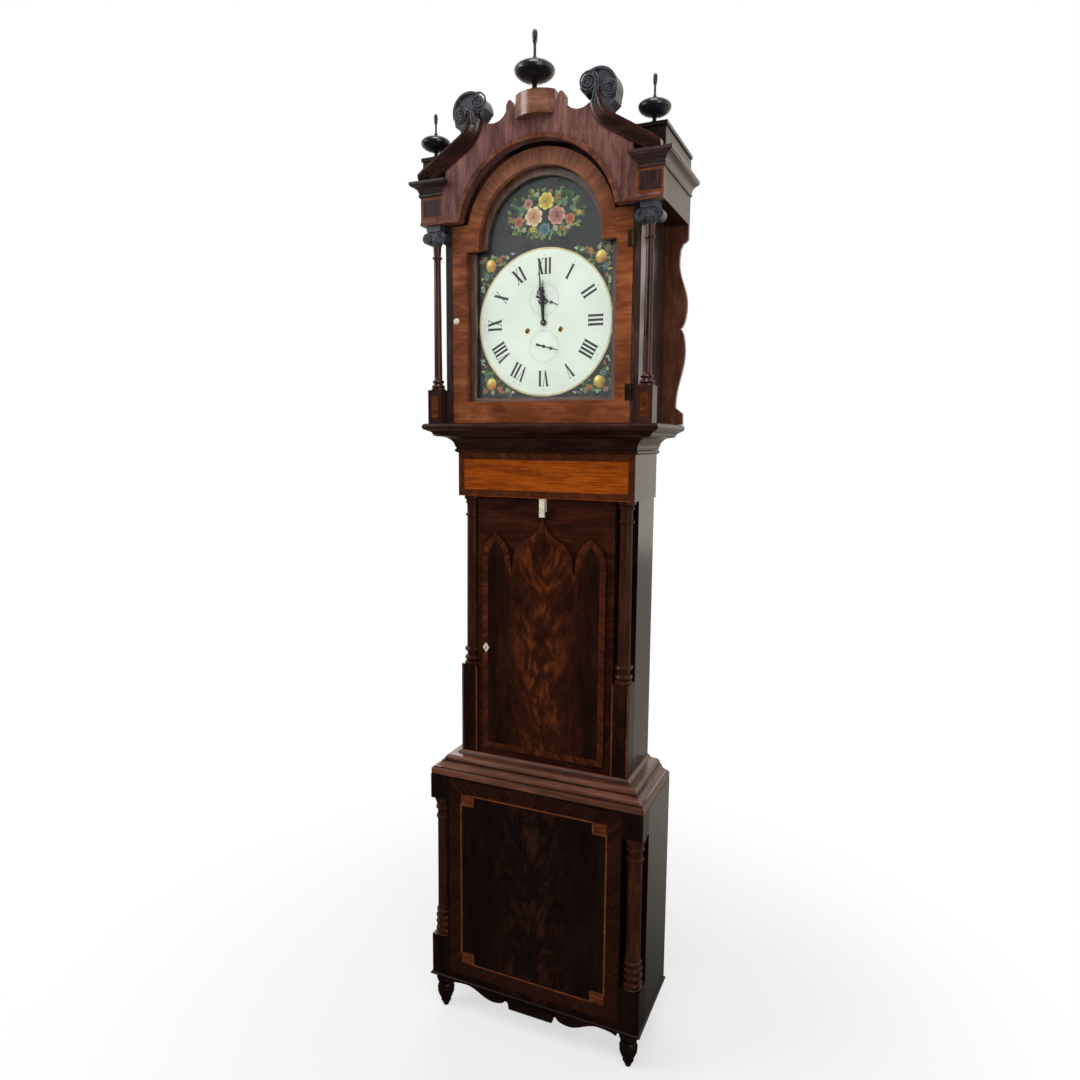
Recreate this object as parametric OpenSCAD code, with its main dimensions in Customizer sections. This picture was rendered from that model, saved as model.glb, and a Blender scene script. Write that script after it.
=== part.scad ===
// Longcase clock: hood with swan-neck pediment, trunk with arched door, plinth on turned feet,
// and an eight-day rack striking movement with two weights and a seconds pendulum.
// Millimetres. Z is up, the front faces -Y, the origin is on the floor under the middle.

/* [Heights] */
// Floor to the underside of the plinth
foot_h = 102; // [80:1:130]
// Plinth, from its underside to the waist moulding
plinth_h = 565; // [480:1:640]
// Waist moulding between plinth and trunk
waist_h = 55; // [44:1:66]
// Trunk, from the waist moulding to the frieze
trunk_h = 679; // [640:1:740]
// Frieze board at the top of the trunk
frieze_h = 109; // [90:1:130]
// Throat moulding under the hood
throat_h = 45; // [40:1:52]
// Base frame of the hood
hood_base_h = 27; // [24:1:32]
// Hood columns, from the base frame to the entablature
hood_col_h = 473; // [460:1:500]
// Entablature blocks of the hood
entab_h = 65; // [56:1:76]
// Cornice moulding
cornice_h = 34; // [28:1:40]
// Roof box above the cornice
roof_h = 60; // [54:1:70]

/* [Widths and depths] */
// Width of the plinth
plinth_w = 581; // [560:1:600]
// Depth of the plinth
plinth_d = 240; // [232:1:248]
// Width of the trunk
trunk_w = 460; // [452:1:472]
// Depth of the trunk
trunk_d = 178; // [172:1:186]
// How far the frieze stands out past the trunk
frieze_out = 4; // [2:0.5:6]
// Width over the entablature blocks
entab_w = 602; // [590:1:610]
// Depth of the entablature
entab_d = 241; // [236:1:246]
// How far the cornice stands out past the entablature
cornice_out = 21; // [16:1:24]
// Width over the hood's side boards
hood_w = 494; // [488:1:500]
// Width of the hood's base frame
hood_base_w = 594; // [584:1:602]
// Width over the roof box
roof_w = 600; // [588:1:604]

/* [Boards] */
// Thickness of the trunk and plinth sides
side_t = 14; // [12:1:16]
// Thickness of the backboard
back_t = 14; // [12:1:16]
// Thickness of the trunk's front frame
frame_t = 16; // [14:1:18]
// Thickness of the plinth's front panel
panel_t = 18; // [15:1:20]
// Thickness of the hood's side boards
hood_side_t = 12; // [10:1:14]
// Thickness of the tympanum board
tymp_t = 20; // [18:1:22]
// Hole for the screw that holds the backboard to a wall
wall_screw_d = 6; // [5:0.5:8]

/* [Columns] */
// Side of the square recess that holds a trunk column
trunk_recess = 46; // [44:1:50]
// Diameter of a trunk column's shaft
trunk_col_d = 34; // [30:1:38]
// Height of the block under a trunk column
trunk_block_h = 235; // [200:1:270]
// Side of the square recess that holds a plinth column
plinth_recess = 52; // [50:1:56]
// Diameter of a plinth column's shaft
plinth_col_d = 39; // [34:1:42]
// Height of the upper plinth block
plinth_cap_h = 66; // [56:1:76]
// Height of the lower plinth block
plinth_foot_h = 110; // [95:1:125]
// Diameter of a hood column's shaft
hood_col_d = 20; // [17:1:23]
// Side of the block under a hood column
hood_block_w = 38; // [34:1:40]
// Height of the block under a hood column
hood_block_h = 82; // [72:1:92]

/* [Trunk door] */
// Width of the trunk door over its lip
door_w = 334; // [326:1:336]
// Height from the trunk's foot to the door's lower edge
door_low = 19; // [14:1:26]
// Height of the door from its lower edge to where the arches spring
door_spring_h = 499; // [470:1:520]
// Rise of the middle ogee above the springing
ogee_rise = 127; // [116:1:134]
// Rise of the side lancets above the springing
lancet_rise = 67; // [56:1:76]
// How far the lip covers the frame
lip = 10; // [8:1:12]
// Thickness of the lip
lip_t = 10; // [8:1:11]
// How deep the door's body sits in its opening
plug_t = 10; // [8:1:12]
// Play between the door's body and its opening
door_play = 1.5; // [1.2:0.1:2]

/* [Hood door] */
// Width of the hood door
hood_door_w = 456; // [452:1:458]
// Thickness of the hood door
hood_door_t = 20; // [18:1:22]
// Width of the sight opening
sight_w = 380; // [374:1:386]
// Radius of the sight opening's arch
sight_r = 156; // [150:1:160]
// Play round the hood door
hood_door_play = 1.5; // [1.2:0.1:2]
// Thickness of the glass
glass_t = 3; // [2:0.5:4]
// Diameter of the turned pull
knob_d = 16; // [12:1:20]

/* [Dial] */
// Height of the hands' arbor above the hood's base frame
dial_up = 238; // [232:1:244]
// Radius of the painted disc
disc_r = 170; // [166:1:174]
// Width of the dial plate
dial_w = 356; // [350:1:362]
// Radius of the dial plate's arch
dial_arch_r = 150; // [146:1:154]
// Thickness of the dial plate
dial_t = 2; // [1.5:0.5:3]
// Distance from the door's glass back to the dial
dial_back = 18; // [16:1:22]

/* [Movement] */
// Thickness of the movement's plates
plate_t = 3; // [2.5:0.5:4]
// Width of the plates
plate_w = 178; // [174:1:190]
// Height of the plates
plate_h = 175; // [170:1:184]
// Clear distance between the plates
plate_gap = 58; // [54:1:64]
// Radius of a winding barrel
barrel_r = 25; // [22:1:27]
// Length of a winding barrel
barrel_l = 34; // [28:1:38]
// Teeth of the great wheel
great_teeth = 96; // [96]
// Teeth of the centre wheel
centre_teeth = 60; // [60]
// Teeth of the third wheel
third_teeth = 56; // [56]
// Leaves of the centre and third pinions
pinion_teeth = 8; // [8]
// Leaves of the escape pinion
escape_leaves = 7; // [7]
// Teeth of the escape wheel
escape_teeth = 30; // [30]
// Tooth pitch of the great wheel, as pitch diameter per tooth
great_module = 0.888; // [0.88:0.001:0.895]
// Tooth pitch of the centre wheel, as pitch diameter per tooth
centre_module = 0.9; // [0.89:0.001:0.91]
// Tooth pitch of the third wheel, as pitch diameter per tooth
third_module = 0.8; // [0.79:0.001:0.81]
// Radius of the escape wheel over its teeth
escape_r = 20; // [19:0.5:21]
// Play of an arbor in its hole
arbor_play = 0.05; // [0.03:0.01:0.08]

/* [Pendulum and weights] */
// Length from the suspension to the middle of the bob
pendulum_l = 994; // [960:1:1000]
// Radius of the bob
bob_r = 55; // [48:1:58]
// Thickness of the bob
bob_t = 26; // [22:1:28]
// Diameter of a weight
weight_d = 56; // [50:1:58]
// Length of a weight
weight_l = 220; // [180:1:240]
// Height of the weights' middle above the floor
weight_up = 1380; // [1300:1:1420]
// Radius of a weight's pulley
pulley_r = 22; // [20:1:24]
// Diameter of the gut lines
line_d = 1.6; // [1.4:0.1:2]

/* [Hidden] */
$fn = 48;
eps = 0.01;

// Levels, from the floor up
z_plinth = foot_h;
z_waist = z_plinth + plinth_h;
z_trunk = z_waist + waist_h;
z_frieze = z_trunk + trunk_h;
z_throat = z_frieze + frieze_h;
z_hood = z_throat + throat_h;
z_case = z_hood + hood_base_h;
z_entab = z_case + hood_col_h;
z_cornice = z_entab + entab_h;
z_top = z_cornice + cornice_h;
z_roof = z_top + roof_h;
z_arbor = z_case + dial_up;

// Planes, with the wall behind and the middle finial's ball in front
ball_r = 36;
centre_scale = 1.28;
crown_out = 2;
back_y = (entab_d + crown_out + centre_scale * ball_r) / 2;
plinth_front = back_y - plinth_d;
trunk_front = back_y - trunk_d;
frieze_front = trunk_front - frieze_out;
entab_front = back_y - entab_d;
hood_base_front = back_y - plinth_d;
board_front = back_y - back_t;
frame_front = trunk_front + 7;
frame_back = frame_front + frame_t;
trunk_half = trunk_w / 2;
plinth_half = plinth_w / 2;
hood_half = hood_w / 2;
entab_half = entab_w / 2;
roof_half = roof_w / 2;
slip = 0.3;

// Points on an arc, for outlines
function arc(cx, cy, r, a0, a1, n) =
    [for (i = [0 : n]) [cx + r * cos(a0 + (a1 - a0) * i / n), cy + r * sin(a0 + (a1 - a0) * i / n)]];
// Half a wave from point a to point b, level at both
function s_wave(a, b, n) =
    [for (i = [0 : n]) [a[0] + (b[0] - a[0]) * i / n, a[1] + (b[1] - a[1]) * (1 - cos(180 * i / n)) / 2]];
function flip(pts) = [for (i = [len(pts) - 1 : -1 : 0]) [-pts[i][0], pts[i][1]]];

// A box from its lowest to its highest corner
module block(a, b) {
    translate(a) cube([b[0] - a[0], b[1] - a[1], b[2] - a[2]]);
}
// Its children, and their mirror image on the other side
module both_sides() {
    children();
    mirror([1, 0, 0]) children();
}
// An outline drawn in x and z, given a thickness from y0 back to y1
module upright(y0, y1) {
    translate([0, y1, 0]) rotate([90, 0, 0]) linear_extrude(y1 - y0) children();
}
// An outline drawn in y and z, drawn out from x0 to x1
module crosswise(x0, x1) {
    translate([x0, 0, 0]) rotate([90, 0, 90]) linear_extrude(x1 - x0) children();
}
// A moulding on three sides. The profile is a list of [distance out, height]
module mould(profile, z0, half, front, inner_half, inner_front, rear = back_y) {
    n = len(profile) - 1;
    top = profile[n][1];
    low = profile[0][1];
    out = [for (p = profile) [half + p[0], z0 + p[1]]];
    difference() {
        intersection() {
            crosswise(-half - 60, half + 60)
                polygon(concat([[rear, z0 + low]], [for (p = profile) [front - p[0], z0 + p[1]]],
                               [[rear, z0 + top]]));
            upright(front - 60, rear) polygon(concat(out, flip(out)));
        }
        block([-inner_half, inner_front, z0 + low - 1], [inner_half, rear + 1, z0 + top + 1]);
    }
}
// A turned piece standing on z0. The profile is a list of [radius, height]
module turned(profile, z0 = 0) {
    translate([0, 0, z0])
        rotate_extrude($fn = 48)
            polygon(concat([[0, profile[0][1]]], profile, [[0, profile[len(profile) - 1][1]]]));
}
// Half-round bead on a turned profile, from height z0 to z1, standing out from r
function bead(r, z0, z1, n = 4) =
    let (half = (z1 - z0) / 2)
    [for (i = [0 : n]) [r + half * sin(180 * i / n), z0 + half - half * cos(180 * i / n)]];

// Toothed wheel round the z axis, turned so that a tooth lies at the angle given
module toothed(n, modulus, thick, angle = 0, fill = 0.36, tall = 0.9, deep = 1.15) {
    r = n * modulus / 2;
    step = 360 / n;
    root = r - deep * modulus;
    tip = r + tall * modulus;
    outline = [for (i = [0 : n - 1]) for (k = [0 : 3])
        let (a = angle + i * step + [-0.5, -0.5, 0.5, 0.5][k] * step * [1.15, 0.55, 0.55, 1.15][k] * fill,
             q = [root, tip, tip, root][k])
        [q * cos(a), q * sin(a)]];
    linear_extrude(thick) polygon(outline);
}
// Arms left between openings cut in a wheel's disc
module crossings(r_in, r_out, arms, arm_w, thick) {
    difference() {
        cylinder(r = r_out, h = thick);
        cylinder(r = r_in, h = thick);
        for (i = [0 : arms - 1])
            rotate([0, 0, i * 360 / arms]) translate([0, -arm_w / 2, 0]) cube([r_out + 1, arm_w, thick]);
    }
}
// Carries its children from the z axis onto an arbor that runs back from y0
module on_arbor(x, z, y0) {
    translate([x, y0, z]) rotate([-90, 0, 0]) children();
}

// Case: plinth
corner_in = plinth_half - plinth_recess;
recess_y = plinth_front + plinth_recess;
ply_t = 14;

module plinth_front_panel() {
    // Panel, with returns that close the two column recesses
    color([0.17, 0.07, 0.04]) translate([0, 0, z_plinth]) linear_extrude(plinth_h)
        polygon([[-corner_in, plinth_front], [corner_in, plinth_front], [corner_in, recess_y],
                 [plinth_half - side_t, recess_y], [plinth_half - side_t, recess_y + ply_t],
                 [corner_in - ply_t, recess_y + ply_t], [corner_in - ply_t, plinth_front + panel_t],
                 [ply_t - corner_in, plinth_front + panel_t], [ply_t - corner_in, recess_y + ply_t],
                 [side_t - plinth_half, recess_y + ply_t], [side_t - plinth_half, recess_y],
                 [-corner_in, recess_y]]);
}
module plinth_sides() {
    color([0.2, 0.1, 0.06]) both_sides()
        block([plinth_half - side_t, recess_y, z_plinth], [plinth_half, back_y, z_waist]);
}
module plinth_corner_blocks() {
    color([0.15, 0.07, 0.04]) both_sides() {
        block([corner_in, plinth_front, z_plinth], [plinth_half, recess_y, z_plinth + plinth_foot_h]);
        block([corner_in, plinth_front, z_waist - plinth_cap_h], [plinth_half, recess_y, z_waist]);
    }
}
module plinth_columns() {
    h = plinth_h - plinth_foot_h - plinth_cap_h;
    r = plinth_col_d / 2;
    big = plinth_recess / 2 - 0.5;
    color([0.22, 0.09, 0.05]) both_sides()
        translate([plinth_half - plinth_recess / 2, plinth_front + plinth_recess / 2, 0])
            turned(concat([[big, 0]], bead(big - 7, 4, 18), bead(big - 6, 25, 37), bead(r + 0.5, 44, 54),
                          bead(r, 62, 70, 3), [[r, 74], [r - 1, h - 64]], bead(r - 1, h - 60, h - 52, 3),
                          [[r - 1, h - 50], [r - 1, h - 36]], bead(r, h - 34, h - 26, 3),
                          [[r + 1, h - 22], [r + 4, h - 12], [big, h - 8], [big, h]]),
                   z_plinth + plinth_foot_h);
}
bead_out = 5;
apron_t = 14;
tablet_half = 61;
bulge_x = tablet_half + 46;
// Lower edge of the apron, from the middle tablet out to the foot
apron_edge = [for (p = concat([[0, -42], [tablet_half, -42], [tablet_half + 2, -27],
                               [tablet_half + 6, -23]],
                              [for (a = [0 : 15 : 90]) [bulge_x - 34 * cos(a), -22 - 14 * sin(a)]],
                              s_wave([bulge_x, -36], [corner_in - 52, -11], 12),
                              [[corner_in - 36, -11.5], [corner_in - 18, -14], [corner_in - 4, -19]]))
              [p[0], z_plinth + p[1]]];
module plinth_apron() {
    color([0.13, 0.06, 0.04]) {
        // Bead round the foot of the plinth
        mould(concat([[0, -8]], [for (i = [0 : 6]) [bead_out * sin(i * 30), -4 - 4 * cos(i * 30)]],
                     [[0, 0]]),
              z_plinth, plinth_half, plinth_front, corner_in - 30, recess_y + 30);
        // Shaped board under the front
        upright(plinth_front, plinth_front + apron_t)
            polygon(concat(apron_edge, [[corner_in - 4, z_plinth - 8]],
                           flip(concat(apron_edge, [[corner_in - 4, z_plinth - 8]]))));
    }
}
foot_x = 261;
foot_in = 19.5;
rear_foot_x = 236;
rear_foot_y = back_y - 35;
module feet() {
    profile = [[7, 0], [9, 6], [14, 15], [13, 20], [17, 27], [22, 40], [23, 54], [20, 64],
               [18, 68], [23, 76], [25, 84], [22, foot_h - 8]];
    color([0.13, 0.06, 0.04]) both_sides() {
        translate([foot_x, plinth_front + foot_in, 0]) turned(profile);
        translate([rear_foot_x, rear_foot_y, 0]) turned(profile);
    }
}

// Case: trunk
stile_in = door_w / 2 - lip + door_play;
stile_out = trunk_half - trunk_recess;
trunk_recess_y = trunk_front + trunk_recess;
tenon = 60;
seat_t = 20;
plate_drop = 66;
seat_top = z_arbor - plate_drop;

module backboard() {
    color([0.3, 0.2, 0.12]) difference() {
        union() {
            block([side_t - trunk_half, board_front, z_waist], [trunk_half - side_t, back_y, z_roof - 30]);
            block([side_t - plinth_half, board_front, z_plinth + 8],
                  [plinth_half - side_t, back_y, z_waist]);
        }
        translate([0, board_front - 1, z_roof - 80]) rotate([-90, 0, 0])
            cylinder(d = wall_screw_d, h = back_t + 2);
    }
}
module trunk_sides() {
    color([0.2, 0.1, 0.06]) both_sides() crosswise(trunk_half - side_t, trunk_half)
        polygon([[trunk_recess_y, z_waist - tenon], [back_y - back_t - slip, z_waist - tenon],
                 [back_y - back_t - slip, z_waist], [back_y, z_waist], [back_y, z_throat],
                 [board_front - 10, z_throat], [board_front - 10, seat_top - seat_t],
                 [frame_back + 2, seat_top - seat_t], [frame_back + 2, z_throat],
                 [trunk_recess_y, z_throat]]);
}
door_z = z_trunk + door_low;
spring_z = door_z + door_spring_h;
ogee_half = 80;
ogee_bulge = 63.5;
notch_half = 4;
notch_drop = 27;
// Outline of the arched door, drawn in from its edge by e
function door_outline(e) =
    let (w = door_w / 2,
         a = (w - ogee_half - 2 * notch_half) / 2,
         r = (a * a + lancet_rise * lancet_rise) / (2 * a),
         top = sqrt((r - e) * (r - e) - (r - a) * (r - a)),
         tip = atan2(top, r - a),
         u = (ogee_rise * ogee_rise - ogee_half * ogee_half) / (2 * ogee_half),
         cx = ogee_half - ogee_bulge,
         r2 = cx + u,
         meet = atan2(ogee_rise, u),
         a2 = acos(r2 / (r2 + e)),
         right = concat([[w - e, door_z + e]],
                        arc(w - r, spring_z, r - e, 0, tip, 7),
                        arc(w - 2 * a + r, spring_z, r - e, 180 - tip, 180, 7),
                        [[ogee_half + notch_half, spring_z - notch_drop - e]],
                        arc(cx, spring_z, ogee_bulge - e, 0, meet, 6),
                        arc(r2, spring_z + ogee_rise, r2 + e, 180 + meet, 180 + a2, 7)))
    concat(right, flip(right));
module trunk_front_frame() {
    opening = lip - door_play;
    color([0.2, 0.08, 0.05]) {
        // Stiles, each with the return that closes a column recess
        both_sides() translate([0, 0, z_waist]) linear_extrude(z_throat - z_waist)
            polygon([[stile_in, frame_front], [stile_out, frame_front], [stile_out, trunk_recess_y],
                     [trunk_half - side_t, trunk_recess_y], [trunk_half - side_t, trunk_recess_y + side_t],
                     [stile_out - side_t, trunk_recess_y + side_t], [stile_out - side_t, frame_back],
                     [stile_in, frame_back]]);
        // Rail behind the waist moulding
        block([-stile_out, trunk_front, z_waist], [stile_out, frame_front, z_trunk]);
        // Rails between the stiles, the upper one cut to the arches
        upright(frame_front, frame_back) difference() {
            translate([-stile_in, z_waist]) square([2 * stile_in, z_throat - z_waist]);
            polygon(door_outline(opening));
            translate([-stile_in - 1, door_z + opening]) square([2 * stile_in + 2, 400]);
        }
    }
}
module trunk_frieze() {
    color([0.5, 0.24, 0.04]) difference() {
        block([-trunk_half - frieze_out, frieze_front, z_frieze],
              [trunk_half + frieze_out, back_y, z_throat]);
        block([-trunk_half, frame_front, z_frieze - 1], [trunk_half, back_y + 1, z_throat + 1]);
    }
}
module trunk_column_blocks() {
    color([0.15, 0.07, 0.04]) both_sides() {
        block([stile_out, trunk_front, z_waist], [trunk_half, trunk_recess_y, z_trunk + trunk_block_h]);
        block([stile_out, frame_front, z_frieze], [trunk_half, trunk_recess_y, z_throat]);
    }
}
module trunk_columns() {
    h = trunk_h - trunk_block_h;
    r = trunk_col_d / 2;
    big = trunk_recess / 2 - 0.5;
    color([0.22, 0.09, 0.05]) both_sides()
        translate([trunk_half - trunk_recess / 2, trunk_front + trunk_recess / 2, 0])
            turned(concat([[big, 0], [big, 5]], bead(big - 7, 9, 23), bead(r, 33, 45),
                          [[r, 52], [r - 1.5, h - 58]],
                          bead(r - 1.5, h - 54, h - 45, 3), [[r - 1.5, h - 42], [r - 1, h - 22]],
                          bead(r, h - 20, h - 14, 3), [[r + 1, h - 12], [big, h - 7], [big, h]]),
                   z_trunk + trunk_block_h);
}
module waist_moulding() {
    wide = plinth_half - trunk_half;
    deep = trunk_front - plinth_front;
    color([0.25, 0.11, 0.08]) mould(
        concat([[wide - 2, 0], [wide + 4, 3], [wide + 5, 9], [wide + 3, 14], [wide - 6, 18]],
               arc(wide - 8, 34, 14, -80, -180, 5), [[wide - 24, 34]],
               arc(wide - 40, 34, 14, 0, 60, 4), [[9, 47], [7, 50], [2, waist_h]]),
        z_waist, trunk_half, trunk_front, trunk_half, trunk_front);
}
module throat_moulding() {
    color([0.2, 0.09, 0.06]) mould(
        concat([[0, 0], [4, 1], [7, 4], [7, 8], [4, 11], [4, 13]], arc(34, 12, 28, 175, 95, 6),
               [[33, throat_h - 5], [44, throat_h - 4], [48, throat_h]]),
        z_throat, trunk_half + frieze_out, frieze_front, trunk_half, frame_front);
}
module seatboard() {
    color([0.35, 0.24, 0.14]) difference() {
        block([-trunk_half, plate_front - 2, seat_top - seat_t],
              [trunk_half, plate_back + plate_t + 5, seat_top]);
        for (s = [-1, 1], x = line_xs)
            translate([s * x, line_y, seat_top - seat_t - 1]) cylinder(d = 5, h = seat_t + 2);
    }
}

// Trunk door
lip_back = frame_front - slip;
lip_front = lip_back - lip_t;
trunk_hinge_x = door_w / 2 + 4;
trunk_hinge_y = frame_front - 6;
trunk_hinge_h = 42;
apex_z = spring_z + ogee_rise;

module trunk_door() {
    color([0.24, 0.1, 0.04]) {
        upright(lip_front, lip_back) polygon(door_outline(0));
        upright(lip_back, lip_back + plug_t) polygon(door_outline(lip));
    }
}
module trunk_door_hinges() {
    color([0.55, 0.42, 0.2])
        for (share = [0.17, 0.892])
            translate([0, 0, door_z + share * door_spring_h - trunk_hinge_h / 2]) {
                translate([trunk_hinge_x, trunk_hinge_y, 0]) cylinder(r = 3, h = trunk_hinge_h);
                block([door_w / 2, lip_front + 1, 0], [door_w / 2 + 1.5, lip_back - 0.5, trunk_hinge_h]);
            }
}
module trunk_door_escutcheon() {
    // Bone diamond let on round the keyhole
    color([0.9, 0.85, 0.7])
        translate([-door_w / 2 + 11, 0, door_z + 0.54 * door_spring_h]) difference() {
            upright(lip_front - 1.5, lip_front) polygon([[-9, 0], [0, -13], [9, 0], [0, 13]]);
            translate([0, lip_front + 1, 2]) rotate([90, 0, 0]) cylinder(r = 2, h = 5);
            block([-1, lip_front - 2, -6], [1, lip_front + 1, 2]);
        }
}
module trunk_door_pull() {
    color([0.9, 0.85, 0.7]) {
        block([-7, lip_front - 5, apex_z - 12], [7, lip_front, z_frieze - 1]);
        block([-7, lip_front, apex_z + 1], [7, lip_back - 0.5, z_frieze - 1]);
    }
}

// Hood: base, sides and mask
hood_door_front = entab_front + 25;
hood_door_back = hood_door_front + hood_door_t;
post_in = hood_door_w / 2 + hood_door_play - 0.5;
sight_low = z_case + 53;
sight_top = z_entab - 65;
sight_cz = z_entab - 43;
// Height of the middle of the dial's and the mask's arch
dial_cz = z_entab - 50;
mask_back = hood_door_back + 11;
dial_front = hood_door_back - 2 + dial_back;

module hood_base_frame() {
    color([0.17, 0.08, 0.05]) mould(
        [[-14, slip], [-13, 4], [-9, 7], [-4, 8.5], [-3, 10], [0, 11], [4, 13], [6, 17], [6, 21],
         [4, 25], [0, hood_base_h]],
        z_hood, hood_base_w / 2, hood_base_front, trunk_half + 1.5, frame_front - 5);
}
function sight_outline(e) =
    let (w = sight_w / 2 + e, r = sight_r + e,
         right = concat([[w, sight_low - e], [w, sight_top + e], [r, sight_top + e]],
                        arc(0, sight_cz, r, 0, 90, 12)))
    concat(right, flip([for (i = [0 : len(right) - 2]) right[i]]));
mask_half = dial_w / 2 - 3;
mask_arch_r = dial_arch_r - 4;
mask_t = 8;
// Thickness of the roof board, which closes the space over the mask
roof_edge = 8;
module hood_sides_and_mask() {
    color([0.2, 0.1, 0.06]) both_sides() translate([0, 0, z_case]) linear_extrude(z_top - z_case)
        polygon([[post_in, hood_door_front], [hood_half, hood_door_front], [hood_half, back_y],
                 [hood_half - hood_side_t, back_y], [hood_half - hood_side_t, hood_door_back + 5],
                 [post_in, hood_door_back + 5]]);
    color([0.3, 0.16, 0.1]) difference() {
        union() {
            block([hood_side_t - hood_half, mask_back - mask_t, z_case],
                  [hood_half - hood_side_t, mask_back, z_top]);
            block([side_t - roof_half, mask_back - mask_t, z_top],
                  [roof_half - side_t, mask_back, z_roof - roof_edge]);
        }
        block([-mask_half, mask_back - mask_t - 1, z_arbor - mask_half],
              [mask_half, mask_back + 1, sight_top + 6]);
        upright(mask_back - mask_t - 1, mask_back + 1) translate([0, dial_cz])
            circle(r = mask_arch_r, $fn = 64);
    }
}

// Hood: tympanum, entablature and cornice
arch_drop = 37;
arch_z = z_entab - arch_drop;
tymp_r = 197;
arch_bead = 11;
// Height of the bands that carry the moulding out to the corners
band_h = 7;
roof_front = entab_front + 10;
shoulder_x = 232;
// Top edge of the tympanum, from the roof in to the middle
tymp_edge = concat([[entab_half, z_entab], [entab_half, z_top], [shoulder_x, z_top],
                    [shoulder_x, z_top + 38],
                    [206, z_top + 54], [185, z_top + 68], [168, z_top + 81], [157, z_top + 92],
                    [149, z_top + 106], [145.5, z_top + 118], [140, z_top + 122]],
                   arc(105.5, z_top + 146, 37.5, -44, -153, 8),
                   [[71.5, z_top + 143], [68, z_top + 150], [64, z_top + 153], [60, z_top + 152],
                    [56.5, z_top + 148], [54, z_top + 142], [52, z_top + 135]]);
module tympanum_outline() {
    polygon(concat(tymp_edge, flip(tymp_edge)));
}
module hood_tympanum() {
    color([0.36, 0.2, 0.17]) upright(entab_front, entab_front + tymp_t) difference() {
        tympanum_outline();
        translate([0, arch_z]) circle(r = tymp_r, $fn = 96);
    }
}
module hood_arch_moulding() {
    foot = sqrt(pow(tymp_r + arch_bead, 2) - arch_drop * arch_drop);
    color([0.62, 0.33, 0.16]) {
        upright(entab_front - 5, entab_front) difference() {
            translate([0, arch_z]) circle(r = tymp_r + arch_bead, $fn = 96);
            translate([0, arch_z]) circle(r = tymp_r, $fn = 96);
            translate([-2 * tymp_r, z_entab - 3 * tymp_r]) square([4 * tymp_r, 3 * tymp_r]);
        }
        // Bands that run on to the corners under the inlaid squares
        both_sides() block([foot - 12, entab_front - 3, z_entab],
                           [entab_half, entab_front, z_entab + band_h]);
    }
}
module hood_entablature() {
    color([0.2, 0.1, 0.07]) both_sides()
        block([hood_half, entab_front + tymp_t, z_entab], [entab_half, back_y, z_top]);
}
cornice_in = 246;
module hood_cornices() {
    profile = concat([[0, 0], [2, 0], [4, 2], [4, 6], [2, 8]],
                     arc(cornice_out - 2, 8, cornice_out - 5, 175, 95, 5),
                     [[cornice_out - 1, cornice_h - 7], [cornice_out, cornice_h - 6],
                      [cornice_out, cornice_h]]);
    n = len(profile) - 1;
    color([0.14, 0.08, 0.07]) both_sides() difference() {
        intersection() {
            crosswise(cornice_in - 60, entab_half + 60)
                polygon(concat([[back_y, z_cornice]],
                               [for (p = profile) [entab_front - p[0], z_cornice + p[1]]],
                               [[back_y, z_top]]));
            upright(entab_front - 60, back_y)
                polygon(concat([for (p = profile) [entab_half + p[0], z_cornice + p[1]]],
                               [for (i = [n : -1 : 0]) [cornice_in - profile[i][0],
                                                        z_cornice + profile[i][1]]]));
        }
        block([0, entab_front, z_cornice - 1], [entab_half, back_y + 1, z_top + 1]);
    }
}

// Swan necks: a raking moulding swept along a curve, with a carved scroll at its head
neck_up = 15;
neck_down = 16;
// Path of a neck: straight up the rake, then round a bend until it stands upright
neck_rake = 31.5;
neck_bend = 70;
bend_at = [145 + neck_bend, z_top + 131];
bend_foot = bend_at - neck_bend * [sin(neck_rake), cos(neck_rake)];
neck_foot_x = 297;
neck_path = concat([for (i = [0 : 4]) let (x = neck_foot_x + (bend_foot[0] - neck_foot_x) * i / 5)
                       [x, bend_foot[1] - (x - bend_foot[0]) * tan(neck_rake)]],
                   arc(bend_at[0], bend_at[1], neck_bend, 270 - neck_rake, 180, 9));
neck_profile = [[0, -neck_down], [5, -14], [6, -10], [9, -7], [13, -1], [18, 5], [19, 9], [cornice_out, 10],
                [cornice_out, neck_up], [0, neck_up]];
// Upward normal of the path at point i, level at its foot
function rise_at(path, i) =
    let (d = path[min(i + 1, len(path) - 1)] - path[max(i - 1, 0)], side = [-d[1], d[0]] / norm(d))
    i == 0 ? [0, 1] : side[1] < 0 ? -side : side;
// Sweeps a profile of [distance out, height] along a path, and stops it at the floor height
module swept(path, profile, floor_z) {
    n = len(path);
    m = len(profile);
    points = [for (i = [0 : n - 1]) for (p = profile)
        let (up = rise_at(path, i))
        [path[i][0] + up[0] * p[1], entab_front - p[0], max(path[i][1] + up[1] * p[1], floor_z)]];
    polyhedron(points, concat(
        [for (i = [0 : n - 2]) for (j = [0 : m - 1]) for (q = [[0, m, m + 1], [0, m + 1, 1]])
            [for (k = q) i * m + (k < m ? 0 : m) + (j + k % m) % m]],
        [[for (j = [0 : m - 1]) j]], [[for (j = [m - 1 : -1 : 0]) (n - 1) * m + j]]));
}
// Silhouette of a neck, with a little room round it
module neck_outline(room) {
    n = len(neck_path) - 1;
    at = [for (i = [0 : n]) neck_path[i] + (i == n ? [0, room] : [0, 0])];
    polygon(concat([for (i = [0 : n]) at[i] + (neck_up + room) * rise_at(neck_path, i)],
                   [for (i = [n : -1 : 0]) at[i] - (neck_down + room) * rise_at(neck_path, i)]));
}
scroll_at = [157.5, z_top + 137];
scroll_r = 41.5;
scroll_deep = 46;
scroll_front = entab_front - cornice_out;
rim_t = 5;
ribbon_t = 5;
volute_r = 19;
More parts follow.
